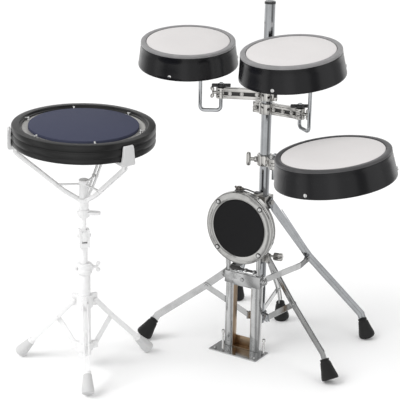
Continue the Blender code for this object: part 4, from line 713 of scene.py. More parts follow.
def make_tom(side):
    """White skin in a grey ring, on a black flared skirt with ribs under its top and three side screws."""
    _, ring_width, _, lean_to, screw_to = TOMS[side]
    place, body = pad_place(side), "tom_" + side
    radius = ring_width / 2.0
    inner, foot = radius - RIM_WIDTH, radius + SKIRT_FLARE
    rim = [(inner, -RIM_HEIGHT), (inner, -0.0006), (inner + 0.0009, 0.0), (radius - 0.0040, -0.0001),
           (radius - 0.0014, -0.0006), (radius - 0.0003, -0.0018), (radius, -0.0034), (radius, -RIM_HEIGHT)]
    add_piece("tom_ring_" + side, [(turned(rim, 128, closed=True), place)],
              [RING_DARK if side == "side" else RING_GREY], body, "rim_grey", "tom_rim_" + side)
    edge = inner - 0.0012
    skin = [(0.0, -0.0008), (0.5 * edge, -0.0008), (edge - 0.0022, -0.0008), (edge - 0.0006, -0.0013),
            (edge, -0.0024), (edge, -RIM_HEIGHT), (0.0, -RIM_HEIGHT)]
    add_piece("tom_skin_" + side, [(turned(skin, 128), place)], [TOM_SKIN], body, "pad_white",
              "tom_disc_" + side)
    skirt = [(0.0, -SKIRT_TOP), (radius - 0.0006, -SKIRT_TOP), (radius, -SKIRT_TOP - 0.0006),
             (radius + 0.0004, -SKIRT_TOP - 0.0040), (radius + 0.0001, -SKIRT_TOP - 0.0052),
             (radius + 0.0018, -0.022), (radius + 0.0040, -0.038), (foot - 0.0008, -0.0525),
             (foot, -0.0560), (foot, -SKIRT_HEIGHT), (foot - SKIRT_WALL, -SKIRT_HEIGHT),
             (foot - SKIRT_WALL - 0.0006, -0.0560), (radius - SKIRT_WALL, -SKIRT_CEILING - 0.002),
             (radius - SKIRT_WALL - 0.002, -SKIRT_CEILING), (0.0, -SKIRT_CEILING)]
    shapes = [(turned(skirt, 128, soft=0.0006, about=50.0), place)]
    for index in range(9):
        spoke = place @ upright((0.0, 0.0, 0.0), 20.0 + 40.0 * index)
        shapes.append((block((radius - 0.050, 0.0022, 0.008), 0.0005),
                       spoke @ at(0.5 * radius + 0.020, 0.0, -SKIRT_CEILING - 0.0035)))
    add_piece("tom_skirt_" + side, shapes, [SKIRT_BLACK], body, "black_plastic", "tom_shell_" + side)
    slope = math.atan2(SKIRT_FLARE, SKIRT_HEIGHT - SKIRT_TOP)
    screws = []
    for index in range(3):
        turn = screw_to - lean_to + 120.0 * index
        spot = polar(radius + SKIRT_FLARE * 0.83, turn, 0.009 - SKIRT_HEIGHT)
        outward = polar(math.cos(slope), turn, math.sin(slope))
        screws.append((socket_screw(0.0046, 0.0030, 4), place @ facing(spot, outward)))
    add_piece("tom_side_screws_" + side, screws, [CHROME_SCREW, DARK_PARTS_AND_SHADE], body, "chrome")
    make_tom_fork(side, place, body)


def make_tom_fork(side, place, body):
    """The bent fork under a pad with its hinge pin, nut and wing screw, drawn with its pin along X."""
    hinge = place.inverted() @ knuckle_of(side)
    inside = KNUCKLE_WIDTH / 2.0 + SLIP
    outside = inside + 0.003
    top, low = -SKIRT_CEILING - SLIP, -KNUCKLE_DROP - KNUCKLE_RADIUS
    cheek = [(-0.011, top), (-0.011, low + 0.007), (-0.0085, low + 0.002), (-0.004, low), (0.004, low),
             (0.0085, low + 0.002), (0.011, low + 0.007), (0.011, top)]
    wing = wing_nut(0.007, 0.024, 0.010, 0.0042)
    shapes = []
    for way in BOTH_WAYS:
        shapes.append((slab(cheek, 0.003, 0.0006), at(way * (inside + 0.0015), 0.0, 0.0) @ leaning(90.0)))
        head = hex_bolt(0.0046, 0.0028) if way < 0 else socket_screw(0.0050, 0.0016)
        shapes.append((head, facing((way * outside, hinge.z, 0.0), (way, 0, 0))))
        shapes.append((block((0.016, 0.022, 0.0026), 0.0006),
                       axes((way * (outside + 0.006), top - 0.0014, 0.0), (1, 0, 0), (0, 0, 1))))
        shapes.append((socket_screw(0.003, 0.0016),
                       facing((way * (outside + 0.009), top - 0.0024, 0.0), (0, -1, 0))))
    shapes.append((block((2.0 * outside, 0.022, 0.003), 0.0006),
                   axes((0.0, top - 0.0016, 0.0), (1, 0, 0), (0, 0, 1))))
    shapes.append((wing, axes((outside, hinge.z, 0.0), (0, 1, 0), (1, 0, 0))))
    local = place @ axes((hinge.x, hinge.y, 0.0), (0, 1, 0), UP)
    add_piece("tom_fork_" + side, placed(shapes, local), [CHROME_CAST, DARK_PARTS_AND_SHADE], body, "chrome",
              "tom_bracket_" + side)


def make_rod(side, hole, hole_end):
    """A bent round rod with the knuckle barrel of its pad."""
    x, y, level = RODS[side]
    knuckle = knuckle_of(side)
    path = [(hole.x, hole.y, hole_end), (hole.x, hole.y, level), (x, y, level), (x, y, knuckle.z - 0.006)]
    reach = polar(KNUCKLE_WIDTH / 2.0, TOMS[side][3] + 90.0)
    collar = [(ROD_RADIUS, -0.004), (0.0066, -0.004), (0.0072, 0.002), (ROD_RADIUS, 0.004)]
    shapes = [(tube(rounded_line(path, ROD_BEND), ROD_RADIUS), HERE),
              (drum(knuckle - reach, knuckle + reach, KNUCKLE_RADIUS, 0.0010), HERE),
              (turned(collar, 32, closed=True, soft=0.0004), at(x, y, knuckle.z - KNUCKLE_RADIUS - 0.0005))]
    add_piece("tom_bent_rod_" + side, shapes, [CHROME_TUBE], "rod_" + side, "chrome", "tom_rod_" + side)


# Clamp arms on the post

def clamp_shapes(reach, tail, railed):
    """Along local X: a split ring, an arm of two rails or of one bar, an end barrel and a bolted tail."""
    half = ARM_HEIGHT / 2.0
    ring = [(POST_BORE, -half), (CLAMP_RING, -half), (CLAMP_RING, half), (POST_BORE, half)]
    bore, waist = ROD_RADIUS + SLIP, ARM_END - 0.0016
    barrel = [(bore, -half), (ARM_END, -half), (ARM_END, -0.30 * half), (waist, -0.20 * half),
              (waist, 0.20 * half), (ARM_END, 0.30 * half), (ARM_END, half), (bore, half)]
    start, end = CLAMP_RING - 0.003, reach - ARM_END + 0.004
    length, middle = end - start, at((start + end) / 2.0, 0.0, 0.0)
    shapes = [(turned(ring, 48, closed=True, soft=0.0014), HERE)]
    if railed:
        for way in BOTH_WAYS:
            rail = block((length, 2.0 * ARM_HALF, 0.34 * ARM_HEIGHT), 0.0012)
            shapes.append((rail, middle @ at(0.0, 0.0, way * 0.33 * ARM_HEIGHT)))
        # Painted shade: a dark web sunk between the rails, where the slot lies in shade
        shapes.append((dark(block((length, 1.1 * ARM_HALF, 0.6 * ARM_HEIGHT), 0.0008)), middle))
    else:
        shapes.append((block((length, 2.0 * ARM_HALF, ARM_HEIGHT), 0.0014, 0.90), middle))
    shapes.append((turned(barrel, 48, closed=True, soft=0.0010), at(reach, 0.0, 0.0)))
    back = -(tail + POST_BORE) / 2.0
    for way in BOTH_WAYS:
        aside = way * (ARM_HALF + 0.0012) / 2.0
        for level in BOTH_WAYS:
            lug = block((tail - POST_BORE - 0.001, ARM_HALF - 0.0012, 0.34 * ARM_HEIGHT), 0.0010)
            shapes.append((lug, at(back, aside, level * 0.33 * ARM_HEIGHT)))
        # Painted shade: a dark core between the lug plates, where the clamp's split lies in shade
        core = dark(block((tail - POST_BORE - 0.003, ARM_HALF - 0.0030, 0.4 * ARM_HEIGHT), 0.0006))
        shapes.append((core, at(back, aside, 0.0)))
    return shapes


def make_arm(side):
    """A cast clamp arm with bolts and wing nut, its rod, and the wing lever that locks the rod."""
    z, direction, reach, tail = ARMS[side]
    place = upright(POST_AXIS + UP * z, direction)
    face = ARM_HALF - 0.001
    shapes = clamp_shapes(reach, tail, railed=True)
    for way in BOTH_WAYS:
        for x in (CLAMP_RING + 0.004, 0.54 * reach, 0.80 * reach):
            shapes.append((drum((x, way * 0.5 * ARM_HALF, 0.0), (x, way * face, 0.0), 0.0050, 0.0005), HERE))
            shapes.append((hex_bolt(0.0040, 0.0024), facing((x, way * face, 0.0), (0, way, 0))))
    shapes.append((hex_bolt(0.0048, 0.0034), facing((0.007 - tail, -ARM_HALF, 0.0), (0, -1, 0))))
    shapes.append((wing_nut(0.004, 0.028, 0.011, 0.0052),
                   axes((reach + ARM_END - 0.001, 0.0, 0.0), UP, (1, 0, 0))))
    add_piece("clamp_arm_" + side, placed(shapes, place), [CHROME_CAST, DARK_PARTS_AND_SHADE], "arm_" + side, "chrome",
              "tom_arm_" + side)
    hole, top = POST_AXIS + UP * z + polar(reach, direction), z + ARM_HEIGHT / 2.0
    make_rod(side, hole, top + 0.012)
    bore = ROD_RADIUS + SLIP
    hub = [(bore, 0.0), (0.0088, 0.0), (0.0095, 0.002), (0.0090, 0.0070), (0.0072, 0.009), (bore, 0.009)]
    shapes = [(turned(hub, 48, closed=True, soft=0.0005), HERE)]
    for way in BOTH_WAYS:
        wing = [(0.006 * way, -0.0030), (0.015 * way, -0.0027), (0.0205 * way, -0.0029),
                (0.0228 * way, -0.0018), (0.0228 * way, 0.0018), (0.0205 * way, 0.0029), (0.015 * way, 0.0027),
                (0.006 * way, 0.0030)]
        shapes.append((slab(wing, 0.0082, 0.0013, 60.0), at(0.0, 0.0, 0.0046)))
    lever = upright((hole.x, hole.y, top + SLIP), LEVER_TURN)
    add_piece("wing_lever_" + side, placed(shapes, lever), [LEVER_BLACK], "lever_" + side, "black_plastic",
              "arm_lever_" + side)


def make_side_clamp():
    """The short clamp of the side pad with its bolts, rod and T knob."""
    centre = POST_AXIS + UP * SIDE_CLAMP_Z
    shapes = clamp_shapes(SIDE_CLAMP_REACH, SIDE_CLAMP_TAIL, railed=False)
    for way in BOTH_WAYS:
        shapes.append((hex_bolt(0.0046, 0.0028), facing((0.026, way * ARM_HALF, 0.0), (0, way, 0))))
    add_piece("side_tom_clamp", placed(shapes, upright(centre, SIDE_CLAMP_TO)), [CHROME_CAST, DARK_PARTS_AND_SHADE],
              "side_clamp", "chrome", "side_clamp")
    make_rod("side", centre + polar(SIDE_CLAMP_REACH, SIDE_CLAMP_TO), SIDE_CLAMP_Z - 0.039)
    outward = polar(1.0, SIDE_KNOB_TO)
    foot = centre + outward * (CLAMP_RING + SLIP)
    grip = foot + outward * 0.0200
    stem = [(0.0, 0.0), (0.0075, 0.0), (0.0075, 0.005), (0.0046, 0.007), (0.0046, 0.016), (0.0, 0.016)]
    shapes = [(turned(stem, 32, soft=0.0006), facing(foot, outward)),
              (drum(grip - UP * 0.017, grip + UP * 0.017, 0.0056, 0.0040), HERE)]
    add_piece("side_t_knob", shapes, [CHROME_CAST], "side_knob", "chrome", "side_knob")


# Post, hub, boots and legs

def make_post_cap():
    """The dark plastic cap that closes the top of the post."""
    outer = POST_RADIUS + 0.0005
    cap = [(0.0, 0.0), (0.6 * outer, 0.0), (outer - 0.0010, -0.0004), (outer, -0.0016), (outer, -0.0060),
           (outer - 0.0002, -0.0064), (0.0, -0.0064)]
    add_piece("post_cap", [(turned(cap, 48), Matrix.Translation(POST_AXIS + UP * POST_TOP))], [LEVER_BLACK],
              "rack", "black_plastic")


def boot_shape():
    """A bell-shaped rubber boot hanging from its neck at the local origin."""
    bell = [(0.0, 0.0), (0.42, 0.0), (0.53, -0.012), (0.56, -0.04), (0.51, -0.09), (0.52, -0.12),
            (0.62, -0.18), (0.70, -0.34), (0.79, -0.52), (0.90, -0.70), (0.98, -0.84), (1.0, -0.91),
            (0.985, -0.965), (0.93, -0.995), (0.86, -1.0), (0.62, -1.0), (0.58, -0.97), (0.34, -0.97),
            (0.30, -1.0), (0.0, -1.0)]
    return turned([(radius * BOOT_BASE, height * BOOT_LENGTH) for radius, height in bell], 64)


def neck_of(sole, length, base, lean):
    """The neck of a leaning boot that stands on the floor, from its sole's distance."""
    angle = math.radians(lean)
    rise = SOLE_SHARE * base * math.sin(angle) + length * math.cos(angle)
    return Vector((sole - length * math.sin(angle), rise))


def bend_over(neck, lean):
    """Where a leg bends, a little up from its boot's neck."""
    angle = math.radians(lean)
    return neck + BEND_RISE * Vector((-math.sin(angle), math.cos(angle)))


def stay_run(way):
    """A stay's fold and heading in the turned bracket, and its boot's neck, measured from the fold."""
    fold = Vector((way * STAY_FOLD.x, STAY_FOLD.y))
    run = Vector((way * STAY_SOLE.x, STAY_SOLE.y)) - fold
    return fold, run.normalized(), neck_of(run.length, BOOT_LENGTH, BOOT_BASE, STAY_LEAN)


def make_boots():
    """Rubber boots on the tripod legs and the stays."""
    for side, (direction, sole, lean, _) in TRIPOD.items():
        neck = neck_of(sole, BOOT_LENGTH, BOOT_BASE, lean)
        place = upright(POST_AXIS + polar(neck.x, direction, neck.y), direction) @ leaning(-lean)
        add_piece("rubber_boot_" + side, [(boot_shape(), place)], [BOOT_RUBBER], "leg_" + side,
                  "black_rubber", "tripod_boot_" + side)
    for side, way in STAYS.items():
        fold, heading, neck = stay_run(way)
        spot = upright(POST_AXIS, BRACKET_TURN) @ Vector((*(fold + heading * neck.x), neck.y))
        turn = math.degrees(math.atan2(heading.y, heading.x)) + BRACKET_TURN
        add_piece("rubber_stay_boot_" + side, [(boot_shape(), upright(spot, turn) @ leaning(-STAY_LEAN))],
                  [BOOT_RUBBER], "stays", "black_rubber", "stay_boot_" + side)


def make_leg_ribs():
    """Pressed ribs along the outer faces of the tripod legs and the stays."""
    for side, (direction, sole, lean, elbow) in TRIPOD.items():
        pivot = Vector((HUB_RING + 0.0098, HUB_Z))
        neck = neck_of(sole, BOOT_LENGTH, BOOT_BASE, lean)
        bend = bend_over(neck, lean)
        line = [pivot.lerp(elbow, 0.24), elbow, bend, bend.lerp(neck, 0.7)]
        place = axes(POST_AXIS, polar(1.0, direction), UP) @ at(0.0, 0.0, 0.0011)
        ribs = [(slab(band(beside(line, offset), 0.0030), 0.0028, 0.0004, 40.0), place)
                for offset in (-0.0068, 0.0068)]
        add_piece("leg_ribs_" + side, ribs, [CHROME_PRESSED], "leg_" + side, "chrome")
    for side, way in STAYS.items():
        fold, heading, neck = stay_run(way)
        bend = bend_over(neck, STAY_LEAN)
        line = [STAY_TOP.lerp(STAY_CLIP, 0.17), STAY_CLIP, bend, bend.lerp(neck, 0.7)]
        upright_stay = axes((fold.x, fold.y, 0.0), (heading.x, heading.y, 0.0), UP)
        place = upright(POST_AXIS, BRACKET_TURN) @ upright_stay @ at(0.0, 0.0, way * 0.0012)
        ribs = [(slab(band(beside(line, offset), 0.0024), 0.0032, 0.0005, 40.0), place)
                for offset in (-0.0075, 0.0001, 0.0075)]
        add_piece("stay_ribs_" + side, ribs, [CHROME_TUBE], "stays", "chrome")


def make_hub_knob():
    """The knurled screw that locks the hub on the post."""
    outward = polar(1.0, HUB_SCREW_TO)
    foot = facing(POST_AXIS + UP * HUB_Z + outward * (HUB_RING + SLIP), outward)
    stem = [(0.0, 0.0), (0.0055, 0.0), (0.0055, 0.003), (0.0032, 0.004), (0.0032, 0.014), (0.0, 0.014)]
    shapes = [(turned(stem, 32, soft=0.0004), foot), (knurled(0.0098, 0.023), foot @ at(0.0, 0.0, 0.013))]
    add_piece("hub_knob", shapes, [CHROME_CAST], "hub_screw", "chrome", "hub_wing_screw")


# Kick pad and its tower

def make_kick_pad():
    """Bright rim and shell in one, the black skin, and four tension screws on washers."""
    place = axes(KICK_CENTRE, (1, 0, 0), (0, 0, 1))
    opening, shell, rim = KICK_DISC + 0.0012, KICK_RIM - 0.0023, KICK_RIM
    dish = [(opening, -0.0028), (opening, -0.0008), (opening + 0.0010, -0.0002), (opening + 0.0060, 0.0),
            (rim - 0.0050, 0.0), (rim - 0.0020, -0.0006), (rim - 0.0004, -0.0022), (rim, -0.0045),
            (rim, -KICK_RIM_DEPTH + 0.0008), (rim - 0.0006, -KICK_RIM_DEPTH), (shell, -KICK_RIM_DEPTH),
            (shell, -KICK_DEPTH + 0.004), (shell - 0.004, -KICK_DEPTH), (0.0, -KICK_DEPTH),
            (0.0, 0.002 - KICK_DEPTH), (shell - 0.006, 0.002 - KICK_DEPTH),
            (shell - 0.002, 0.006 - KICK_DEPTH), (shell - 0.002, -0.0028)]
    add_piece("kick_rim_and_shell", [(turned(dish, 128, closed=True), place)], [CHROME_BRIGHT], "rack",
              "chrome", "kick_dish")
    skin = [(0.0, -SLIP), (KICK_DISC - 0.0030, -SLIP), (KICK_DISC - 0.0008, -0.0009), (KICK_DISC, -0.0024),
            (KICK_DISC, -0.0031), (shell - 0.0023, -0.0031), (shell - 0.0023, -0.0111), (0.0, -0.0111)]
    add_piece("kick_skin", [(turned(skin, 128), place)], [KICK_SKIN], "rack", "black_rubber", "kick_rubber")
    screws = []
    for quarter in range(4):
        spot = place @ Matrix.Translation(polar(KICK_SCREW_CIRCLE, 45.0 + 90.0 * quarter))
        washer = turned([(0.0044, 0.0), (0.0066, 0.0), (0.0066, 0.0006), (0.0044, 0.0008)], 32, closed=True)
        screws += [(socket_screw(0.0046, 0.0030, 4), spot), (dark(washer), spot)]
    add_piece("kick_rim_screws", screws, [CHROME_SCREW, DARK_PARTS_AND_SHADE], "rack", "chrome")


def make_kick_bar():
    """The flat bent bar from the stay bracket to the kick pad, and the domed wing nut on its end."""
    outward = polar(1.0, KICK_BAR_TO)
    line = rounded_line([Vector(point) for point in KICK_BAR_LINE], 0.010, 4)
    # Its dark grey finish is painted shade on the grey steel bar
    bar = slab(band(line, 0.0025), 0.016, 0.0004, 60.0)
    add_piece("kick_flat_bar", [(bar, axes(POST_AXIS, outward, UP))], [SHADE_DARKENED_BAR], "stay_bracket",
              "black_plastic", "kick_top_bar")
    foot = POST_AXIS + outward * KICK_BAR_NUT.x + UP * KICK_BAR_NUT.y
    dome = [(0.0, 0.0), (0.0088, 0.0), (0.0088, 0.0012), (0.0078, 0.0014), (0.0090, 0.0030), (0.0082, 0.0062),
            (0.0052, 0.0088), (0.0, 0.0096)]
    shapes = [(wing_nut(0.001, 0.027, 0.006, 0.009, 0.0064), axes(foot, outward.cross(UP), UP)),
              (turned(dome, 32), Matrix.Translation(foot))]
    add_piece("kick_bar_wing_nut", shapes, [SMOKED], "stay_bracket", "chrome")


def make_tower():
    """Two folded uprights beside a window, a strapped head with its bolts, and the tray at the foot."""
    low, high, half, jamb = 0.0033, 0.205, 0.047, 0.025
    front, back, sheet = 0.0125, 0.0315, 0.0025
    bolt_y, bolt_z, head_z = 0.0205, 0.190, 0.187
    hinge_y, hinge_z = 0.0135, 0.2125
    shapes = []
    for way in BOTH_WAYS:
        fold = [(way * half, back), (way * half, front), (way * jamb, front), (way * jamb, back - 0.001),
                (way * (jamb + sheet), back - 0.001), (way * (jamb + sheet), front + sheet),
                (way * (half - sheet), front + sheet), (way * (half - sheet), back)]
        shapes.append((slab(fold, high - low, 0.0007), at(0.0, 0.0, (high + low) / 2.0)))
        shapes.append((block((0.011, sheet, 0.070), 0.0007), at(way * 0.0415, front + sheet / 2.0, 0.237)))
        # Pivot boss, spacer and washer
        for start, end, radius, soft in ((0.0495, 0.0530, 0.0085, 0.0006), (0.0530, 0.0570, 0.0040, 0.0003),
                                         (0.0566, 0.0582, 0.0092, 0.0004)):
            boss = drum((way * start, bolt_y, bolt_z), (way * end, bolt_y, bolt_z), radius, soft)
            shapes.append((boss, HERE))
        shapes.append((hex_bolt(0.0072, 0.0036), facing((way * 0.0584, bolt_y, bolt_z), (way, 0, 0))))
        shapes.append((socket_screw(0.0030, 0.0018), facing((way * 0.0360, front, 0.018), (0, -1, 0))))
    shapes.append((block((0.052, sheet, 0.037), 0.0006), at(0.0, front + sheet / 2.0, 0.1865)))
    strap = [(-0.050, 0.0095), (0.050, 0.0095), (0.050, back), (0.046, back), (0.046, 0.0135),
             (-0.046, 0.0135), (-0.046, back), (-0.050, back)]
    shapes.append((slab(strap, 0.030, 0.0009), at(0.0, 0.0, head_z)))
    shapes.append((socket_screw(0.0052, 0.0030, 4), facing((0.0, 0.0095, head_z), (0, -1, 0))))
    rod = drum((-0.0375, hinge_y, hinge_z), (0.0375, hinge_y, hinge_z), 0.0032, 0.0003)
    # A dark drum on the hinge rod, left of the middle
    dark_drum = drum((-0.034, hinge_y, hinge_z + 0.001), (-0.010, hinge_y, hinge_z + 0.001), 0.0056, 0.0010)
    shapes += [(dark(rod), HERE), (dark(dark_drum), HERE)]
    for x in (0.006, 0.029):
        shapes.append((drum((x, hinge_y, hinge_z), (x + 0.005, hinge_y, hinge_z), 0.0050, 0.0005), HERE))
    add_piece("tower_frame", shapes, [CHROME_PRESSED, DARK_PARTS_AND_SHADE], "rack", "chrome", "kick_tower")
    lining = [(block((0.050, 0.0020, 0.026), 0.0004), at(0.0, 0.0300, 0.0165)),
              (block((0.050, 0.0170, 0.0016), 0.0004), at(0.0, 0.0215, 0.0042))]
    for way in BOTH_WAYS:
        lining.append((block((0.0008, 0.0170, 0.163), 0.0002), at(way * 0.0247, 0.0217, 0.0855)))
    add_piece("tower_tray_and_lining", lining, [BRONZED], "rack", "chrome")


def make_spurs():
    """Threaded floor spurs with a round head."""
    for side, (x, y, height) in SPURS.items():
        profile = [(0.0, 0.001), (0.0006, 0.001), (0.0026, 0.005)]
        for turn in range(int((height - 0.013) / THREAD_PITCH)):
            z = 0.005 + turn * THREAD_PITCH
            profile += [(0.0027, z + 0.2 * THREAD_PITCH), (0.0022, z + 0.7 * THREAD_PITCH)]
        profile += [(0.0024, height - 0.0080), (0.0042, height - 0.0070), (0.0042, height - 0.0015),
                    (0.0034, height), (0.0, height)]
        add_piece("threaded_spur_" + side, [(turned(profile, 28), at(x, y, 0.0))], [CHROME_SCREW],
                  "spur_" + side, "chrome", "floor_spur_" + side)


# Snare pad

def basket_place():
    """The tilted place of the snare pad and its basket, on the stand's tilter."""
    return upright(STAND_AXIS + UP * TILTER_Z, SNARE_LEAN_TO) @ leaning(SNARE_LEAN)


def make_snare_pad():
    """Ridged rubber hoop with a lip, the plate inside it, the navy skin, and six lugs with turned clips."""
    place = basket_place() @ at(0.0, 0.0, SNARE_RISE)
    outer, inner, low = HOOP_RADIUS, HOOP_INNER, -HOOP_HEIGHT
    hoop = [(inner + 0.0020, -0.0004), (outer - 0.0050, 0.0), (outer - 0.0018, -0.0012),
            (outer - 0.0004, -0.0040), (outer - 0.0002, -0.0120), (outer - 0.0014, -0.0142),
            (outer - 0.0024, -0.0160), (outer - 0.0014, -0.0178), (outer - 0.0001, -0.0205), (outer, -0.0270),
            (outer - 0.0012, -0.0300), (outer - 0.0018, -0.0315), (outer - 0.0008, -0.0335), (outer, -0.0370),
            (outer - 0.0010, low + 0.0020), (outer - 0.0030, low), (inner + 0.0015, low),
            (inner, low + 0.0015), (inner, -0.0081),
            (inner - 0.0048, -0.0079), (inner - 0.0056, -0.0068), (inner - 0.0048, -0.0056),
            (inner - 0.0004, -0.0044), (inner + 0.0002, -0.0020)]
    add_piece("snare_rubber_hoop", [(turned(hoop, 160, closed=True), place)], [HOOP_RUBBER], "snare",
              "black_rubber", "snare_hoop")
    top, seat = SNARE_PLATE_TOP, SNARE_PLATE_TOP + SLIP
    plate = [(0.0, top), (inner - 0.010, top), (inner - 0.0085, top + 0.0006), (inner - SLIP, top + 0.0006),
             (inner - SLIP, top - 0.006), (0.0, top - 0.006)]
    add_piece("snare_base_plate", [(turned(plate, 128, soft=0.0002), place)], [PLATE_GREY], "snare",
              "rim_grey", "snare_plate")
    skin = [(0.0, seat + 0.007), (SNARE_DISC - 0.0024, seat + 0.007), (SNARE_DISC - 0.0007, seat + 0.0064),
            (SNARE_DISC, seat + 0.0050), (SNARE_DISC, seat), (0.0, seat)]
    add_piece("snare_skin", [(turned(skin, 128), place)], [SNARE_SKIN], "snare", "navy_rubber", "snare_disc")
    stud = [(0.0, -0.001), (0.0042, -0.001), (0.0042, 0.0018), (0.0026, 0.0030), (0.0020, 0.0088),
            (0.0, 0.0088)]
    lugs = []
    for index in range(6):
        turn = 60.0 * index
        local = place @ upright(polar(LUG_CIRCLE, turn, top), turn)
        lugs.append((turned(stud, 24, soft=0.0002), local))
        lugs.append((block((0.0085, 0.0046, 0.0016), 0.0004), local @ at(0.0042, 0.0, 0.0064)))
    add_piece("snare_lugs", lugs, [CHROME_SCREW], "snare", "chrome")


# Snare stand

def rounded_claw(outline, width):
    """An L-shaped claw whose upright narrows to a rounded top."""
    bm = slab(outline, width)
    high = max(y for _, y in outline)
    for vert in bm.verts:
        if vert.co.y > high - 0.006:
            vert.co.z *= 0.74
    return softened(bm, 0.0016, 40.0, 3)


def make_basket():
    """The basket: neck, ridged nut, hub with three hinged bow arms, and soft claws round the hoop."""
    place = basket_place()
    neck = [(0.0, 0.008), (0.0058, 0.008), (0.0058, 0.046), (0.0, 0.046)]
    hub = [(0.0, 0.066), (0.0100, 0.066), (0.0112, 0.070), (0.0112, 0.084), (0.0150, 0.0875),
           (0.0150, 0.0935), (0.0112, 0.097), (0.0105, 0.130), (0.0120, 0.132), (0.0120, 0.138),
           (0.0085, 0.1400), (0.0, 0.1400)]
    shapes = [(turned(neck, 32), place), (turned(hub, 48), place),
              (knurled(0.0130, 0.020, 20), place @ at(0.0, 0.0, 0.047)),
              (drum((0.0, -0.006, 0.0), (0.0, 0.006, 0.0), 0.016, 0.0010), place)]
    under, hoop = SNARE_RISE - HOOP_HEIGHT - SLIP, HOOP_RADIUS
    seat = hoop - 0.008
    bow = rounded_line([Vector((0.010, 0.090)), Vector((0.045, 0.113)), Vector((seat, under - 0.020)),
                        Vector((seat, under - 0.004))], 0.008, 5)
    brace = [Vector((0.010, 0.128, 0.0)), Vector((0.060, 0.1285, 0.0)), Vector((0.066, 0.1275, 0.0))]
    claw = [(seat - 0.014, under - 0.0080), (seat - 0.014, under - 0.0008), (hoop + 0.0004, under - 0.0004),
            (hoop + 0.0006, under + 0.034), (hoop + 0.0020, under + 0.0370), (hoop + 0.0062, under + 0.0355),
            (hoop + 0.0080, under + 0.031), (hoop + 0.0085, under - 0.0060), (hoop + 0.0060, under - 0.0095)]
    claws = []
    for turn in BASKET_TURNS:
        local = place @ axes((0.0, 0.0, 0.0), polar(1.0, turn), UP)
        for way in BOTH_WAYS:
            shapes.append((slab(band(bow, 0.0086), 0.0036, 0.0008, 60.0), local @ at(0.0, 0.0, way * 0.0045)))
        shapes.append((tube(brace, 0.0026, 3), local))
        for x, y in ((0.013, 0.092), (0.062, 0.1275), (seat, under - 0.012)):
            shapes.append((drum((x, y, -0.0078), (x, y, 0.0078), 0.0034, 0.0006, steps=20), local))
        claws.append((rounded_claw(claw, 0.034), local))
    lever = [(-0.016, -0.007), (0.014, -0.009), (0.034, -0.0075), (0.0385, -0.004), (0.0385, 0.004),
             (0.034, 0.0075), (0.014, 0.009), (-0.016, 0.007)]
    shapes.append((slab(lever, 0.007, 0.0016, 20.0), place @ upright((0.0, 0.0, 0.057), 75.0)))
    add_piece("basket_frame", shapes, [STAND_PAINT], "snare", "pale_metal", "stand_basket")
    add_piece("basket_claws", claws, [STAND_RUBBER], "snare", "pale_metal")


def make_stand_tubes():
    """The stand's outer tube with its height clamp and wing nut, and the fixed collar of its braces."""
    bore, mouth, waist = STAND_TUBE - 0.002, 0.0088, 0.0172
    place = Matrix.Translation(STAND_AXIS)
    wall = [(STAND_TUBE, 0.243), (STAND_TUBE, 0.030), (bore, 0.030), (bore, 0.243)]
    clamp = [(mouth, 0.238), (0.0160, 0.236), (STAND_CLAMP, 0.240), (STAND_CLAMP, 0.247), (waist, 0.249),
             (waist, 0.253), (STAND_CLAMP, 0.255), (STAND_CLAMP, 0.260), (0.0165, 0.262), (mouth, 0.262)]
    ring = [(STAND_TUBE, -0.009), (0.0189, -0.009), (0.0189, 0.009), (STAND_TUBE, 0.009)]
    shapes = [(turned(wall, 48, closed=True, soft=0.0004), place),
              (turned(clamp, 48, closed=True, soft=0.0005), place),
              (turned(ring, 48, closed=True, soft=0.0008), place @ at(0.0, 0.0, STAND_COLLAR_Z))]
    for direction in STAND_TO.values():
        for way in BOTH_WAYS:
            spot = polar(0.0235, direction, STAND_COLLAR_Z) + polar(1.0, direction + 90.0) * way * 0.0028
            shapes.append((block((0.0165, 0.0025, 0.018), 0.0005), place @ upright(spot, direction)))
    along = polar(1.0, SNARE_LEAN_TO + 90.0)
    centre = STAND_AXIS + UP * STAND_CLAMP_Z
    spot = centre + along * (STAND_CLAMP - 0.001)
    shapes.append((wing_nut(0.009, 0.026, 0.013, 0.0055), axes(spot, UP, along)))
    shapes.append((drum(spot - along * 0.003, spot + along * 0.004, 0.0070, 0.0010), HERE))
    shapes.append((hex_bolt(0.0055, 0.0035), facing(centre - along * STAND_CLAMP, -along)))
    add_piece("stand_tube_and_clamp", shapes, [STAND_PAINT], "rack", "pale_metal", "stand_base_tube")


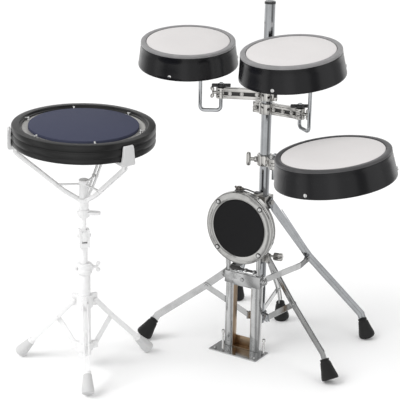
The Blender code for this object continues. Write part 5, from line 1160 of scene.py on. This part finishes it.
def make_stand_legs():
    """Double strip legs with rivets and grey rubber feet."""
    neck = neck_of(STAND_SOLE, STAND_FOOT_LENGTH, STAND_FOOT_BASE, STAND_LEAN)
    bend = bend_over(neck, STAND_LEAN)
    line = rounded_line([STAND_PIVOT, STAND_ELBOW, bend, neck], 0.012, 4)
    plug_top, plug_foot = neck + (bend - neck) * 0.5, neck - (bend - neck) * 0.3
    foot = [(0.0, 0.0), (0.0090, 0.0), (0.0100, -0.002), (0.0108, -0.010), (0.0125, -0.022), (0.0142, -0.034),
            (STAND_FOOT_BASE, -0.040), (0.0136, -0.0445), (0.0110, -STAND_FOOT_LENGTH),
            (0.0, -STAND_FOOT_LENGTH)]
    for side, direction in STAND_TO.items():
        body = "stand_leg_" + side
        local = axes(STAND_AXIS, polar(1.0, direction), UP)
        shapes = []
        for way in BOTH_WAYS:
            shapes.append((slab(band(line, 0.012), 0.0025, 0.0005, 60.0), local @ at(0.0, 0.0, way * 0.0055)))
            for spot in (STAND_PIVOT, STAND_ELBOW):
                rivet = facing((spot.x, spot.y, way * 0.0065), (0, 0, way))
                shapes.append((socket_screw(0.0046, 0.0022), local @ rivet))
        shapes.append((drum((*plug_top, 0.0), (*plug_foot, 0.0), 0.0088, 0.0012), local))
        add_piece("stand_strip_leg_" + side, shapes, [STAND_PAINT, STAND_RUBBER], body, "pale_metal",
                  "stand_leg_" + side)
        place = upright(STAND_AXIS + polar(neck.x, direction, neck.y), direction) @ leaning(-STAND_LEAN)
        add_piece("stand_rubber_foot_" + side, [(turned(foot, 48), place)], [STAND_RUBBER], body,
                  "pale_metal")


add_camera()
add_surroundings()
add_floor()
add_light("key", "SUN", 1.45, (-1.5, -2.5, 3.0), (0.0, 0.0, 0.3), angle=math.radians(35.0))
add_light("panel_right", "AREA", 9.0, (2.6, -0.4, 1.6), (0.1, 0.0, 0.5), shape="RECTANGLE", size=1.0,
          size_y=2.0)
add_light("panel_left", "AREA", 7.0, (-2.4, -1.6, 1.8), (0.0, 0.0, 0.5), shape="RECTANGLE", size=0.8,
          size_y=2.0)
bpy.context.scene.view_settings.view_transform = "Standard"

refinish(CHROME_PRESSED, "base_plate", "stay_strap_left", "stay_strap_right",
         *["tripod_leg_" + side for side in TRIPOD], *["tripod_brace_" + side for side in TRIPOD])
refinish(CHROME_CAST, "stay_bracket", "leg_hub")
refinish(CHROME_TUBE, "post_tube", "stay_leg_left", "stay_leg_right")
refinish(STAND_PAINT, "stand_upper_rod", "stand_leg_collar", *["stand_brace_" + side for side in STAND_TO])

for tom_side in TOMS:
    make_tom(tom_side)
for arm_side in ARMS:
    make_arm(arm_side)
make_side_clamp()
make_post_cap()
make_hub_knob()
make_leg_ribs()
make_tower()
make_boots()
make_kick_pad()
make_kick_bar()
make_spurs()
make_snare_pad()
make_basket()
make_stand_tubes()
make_stand_legs()
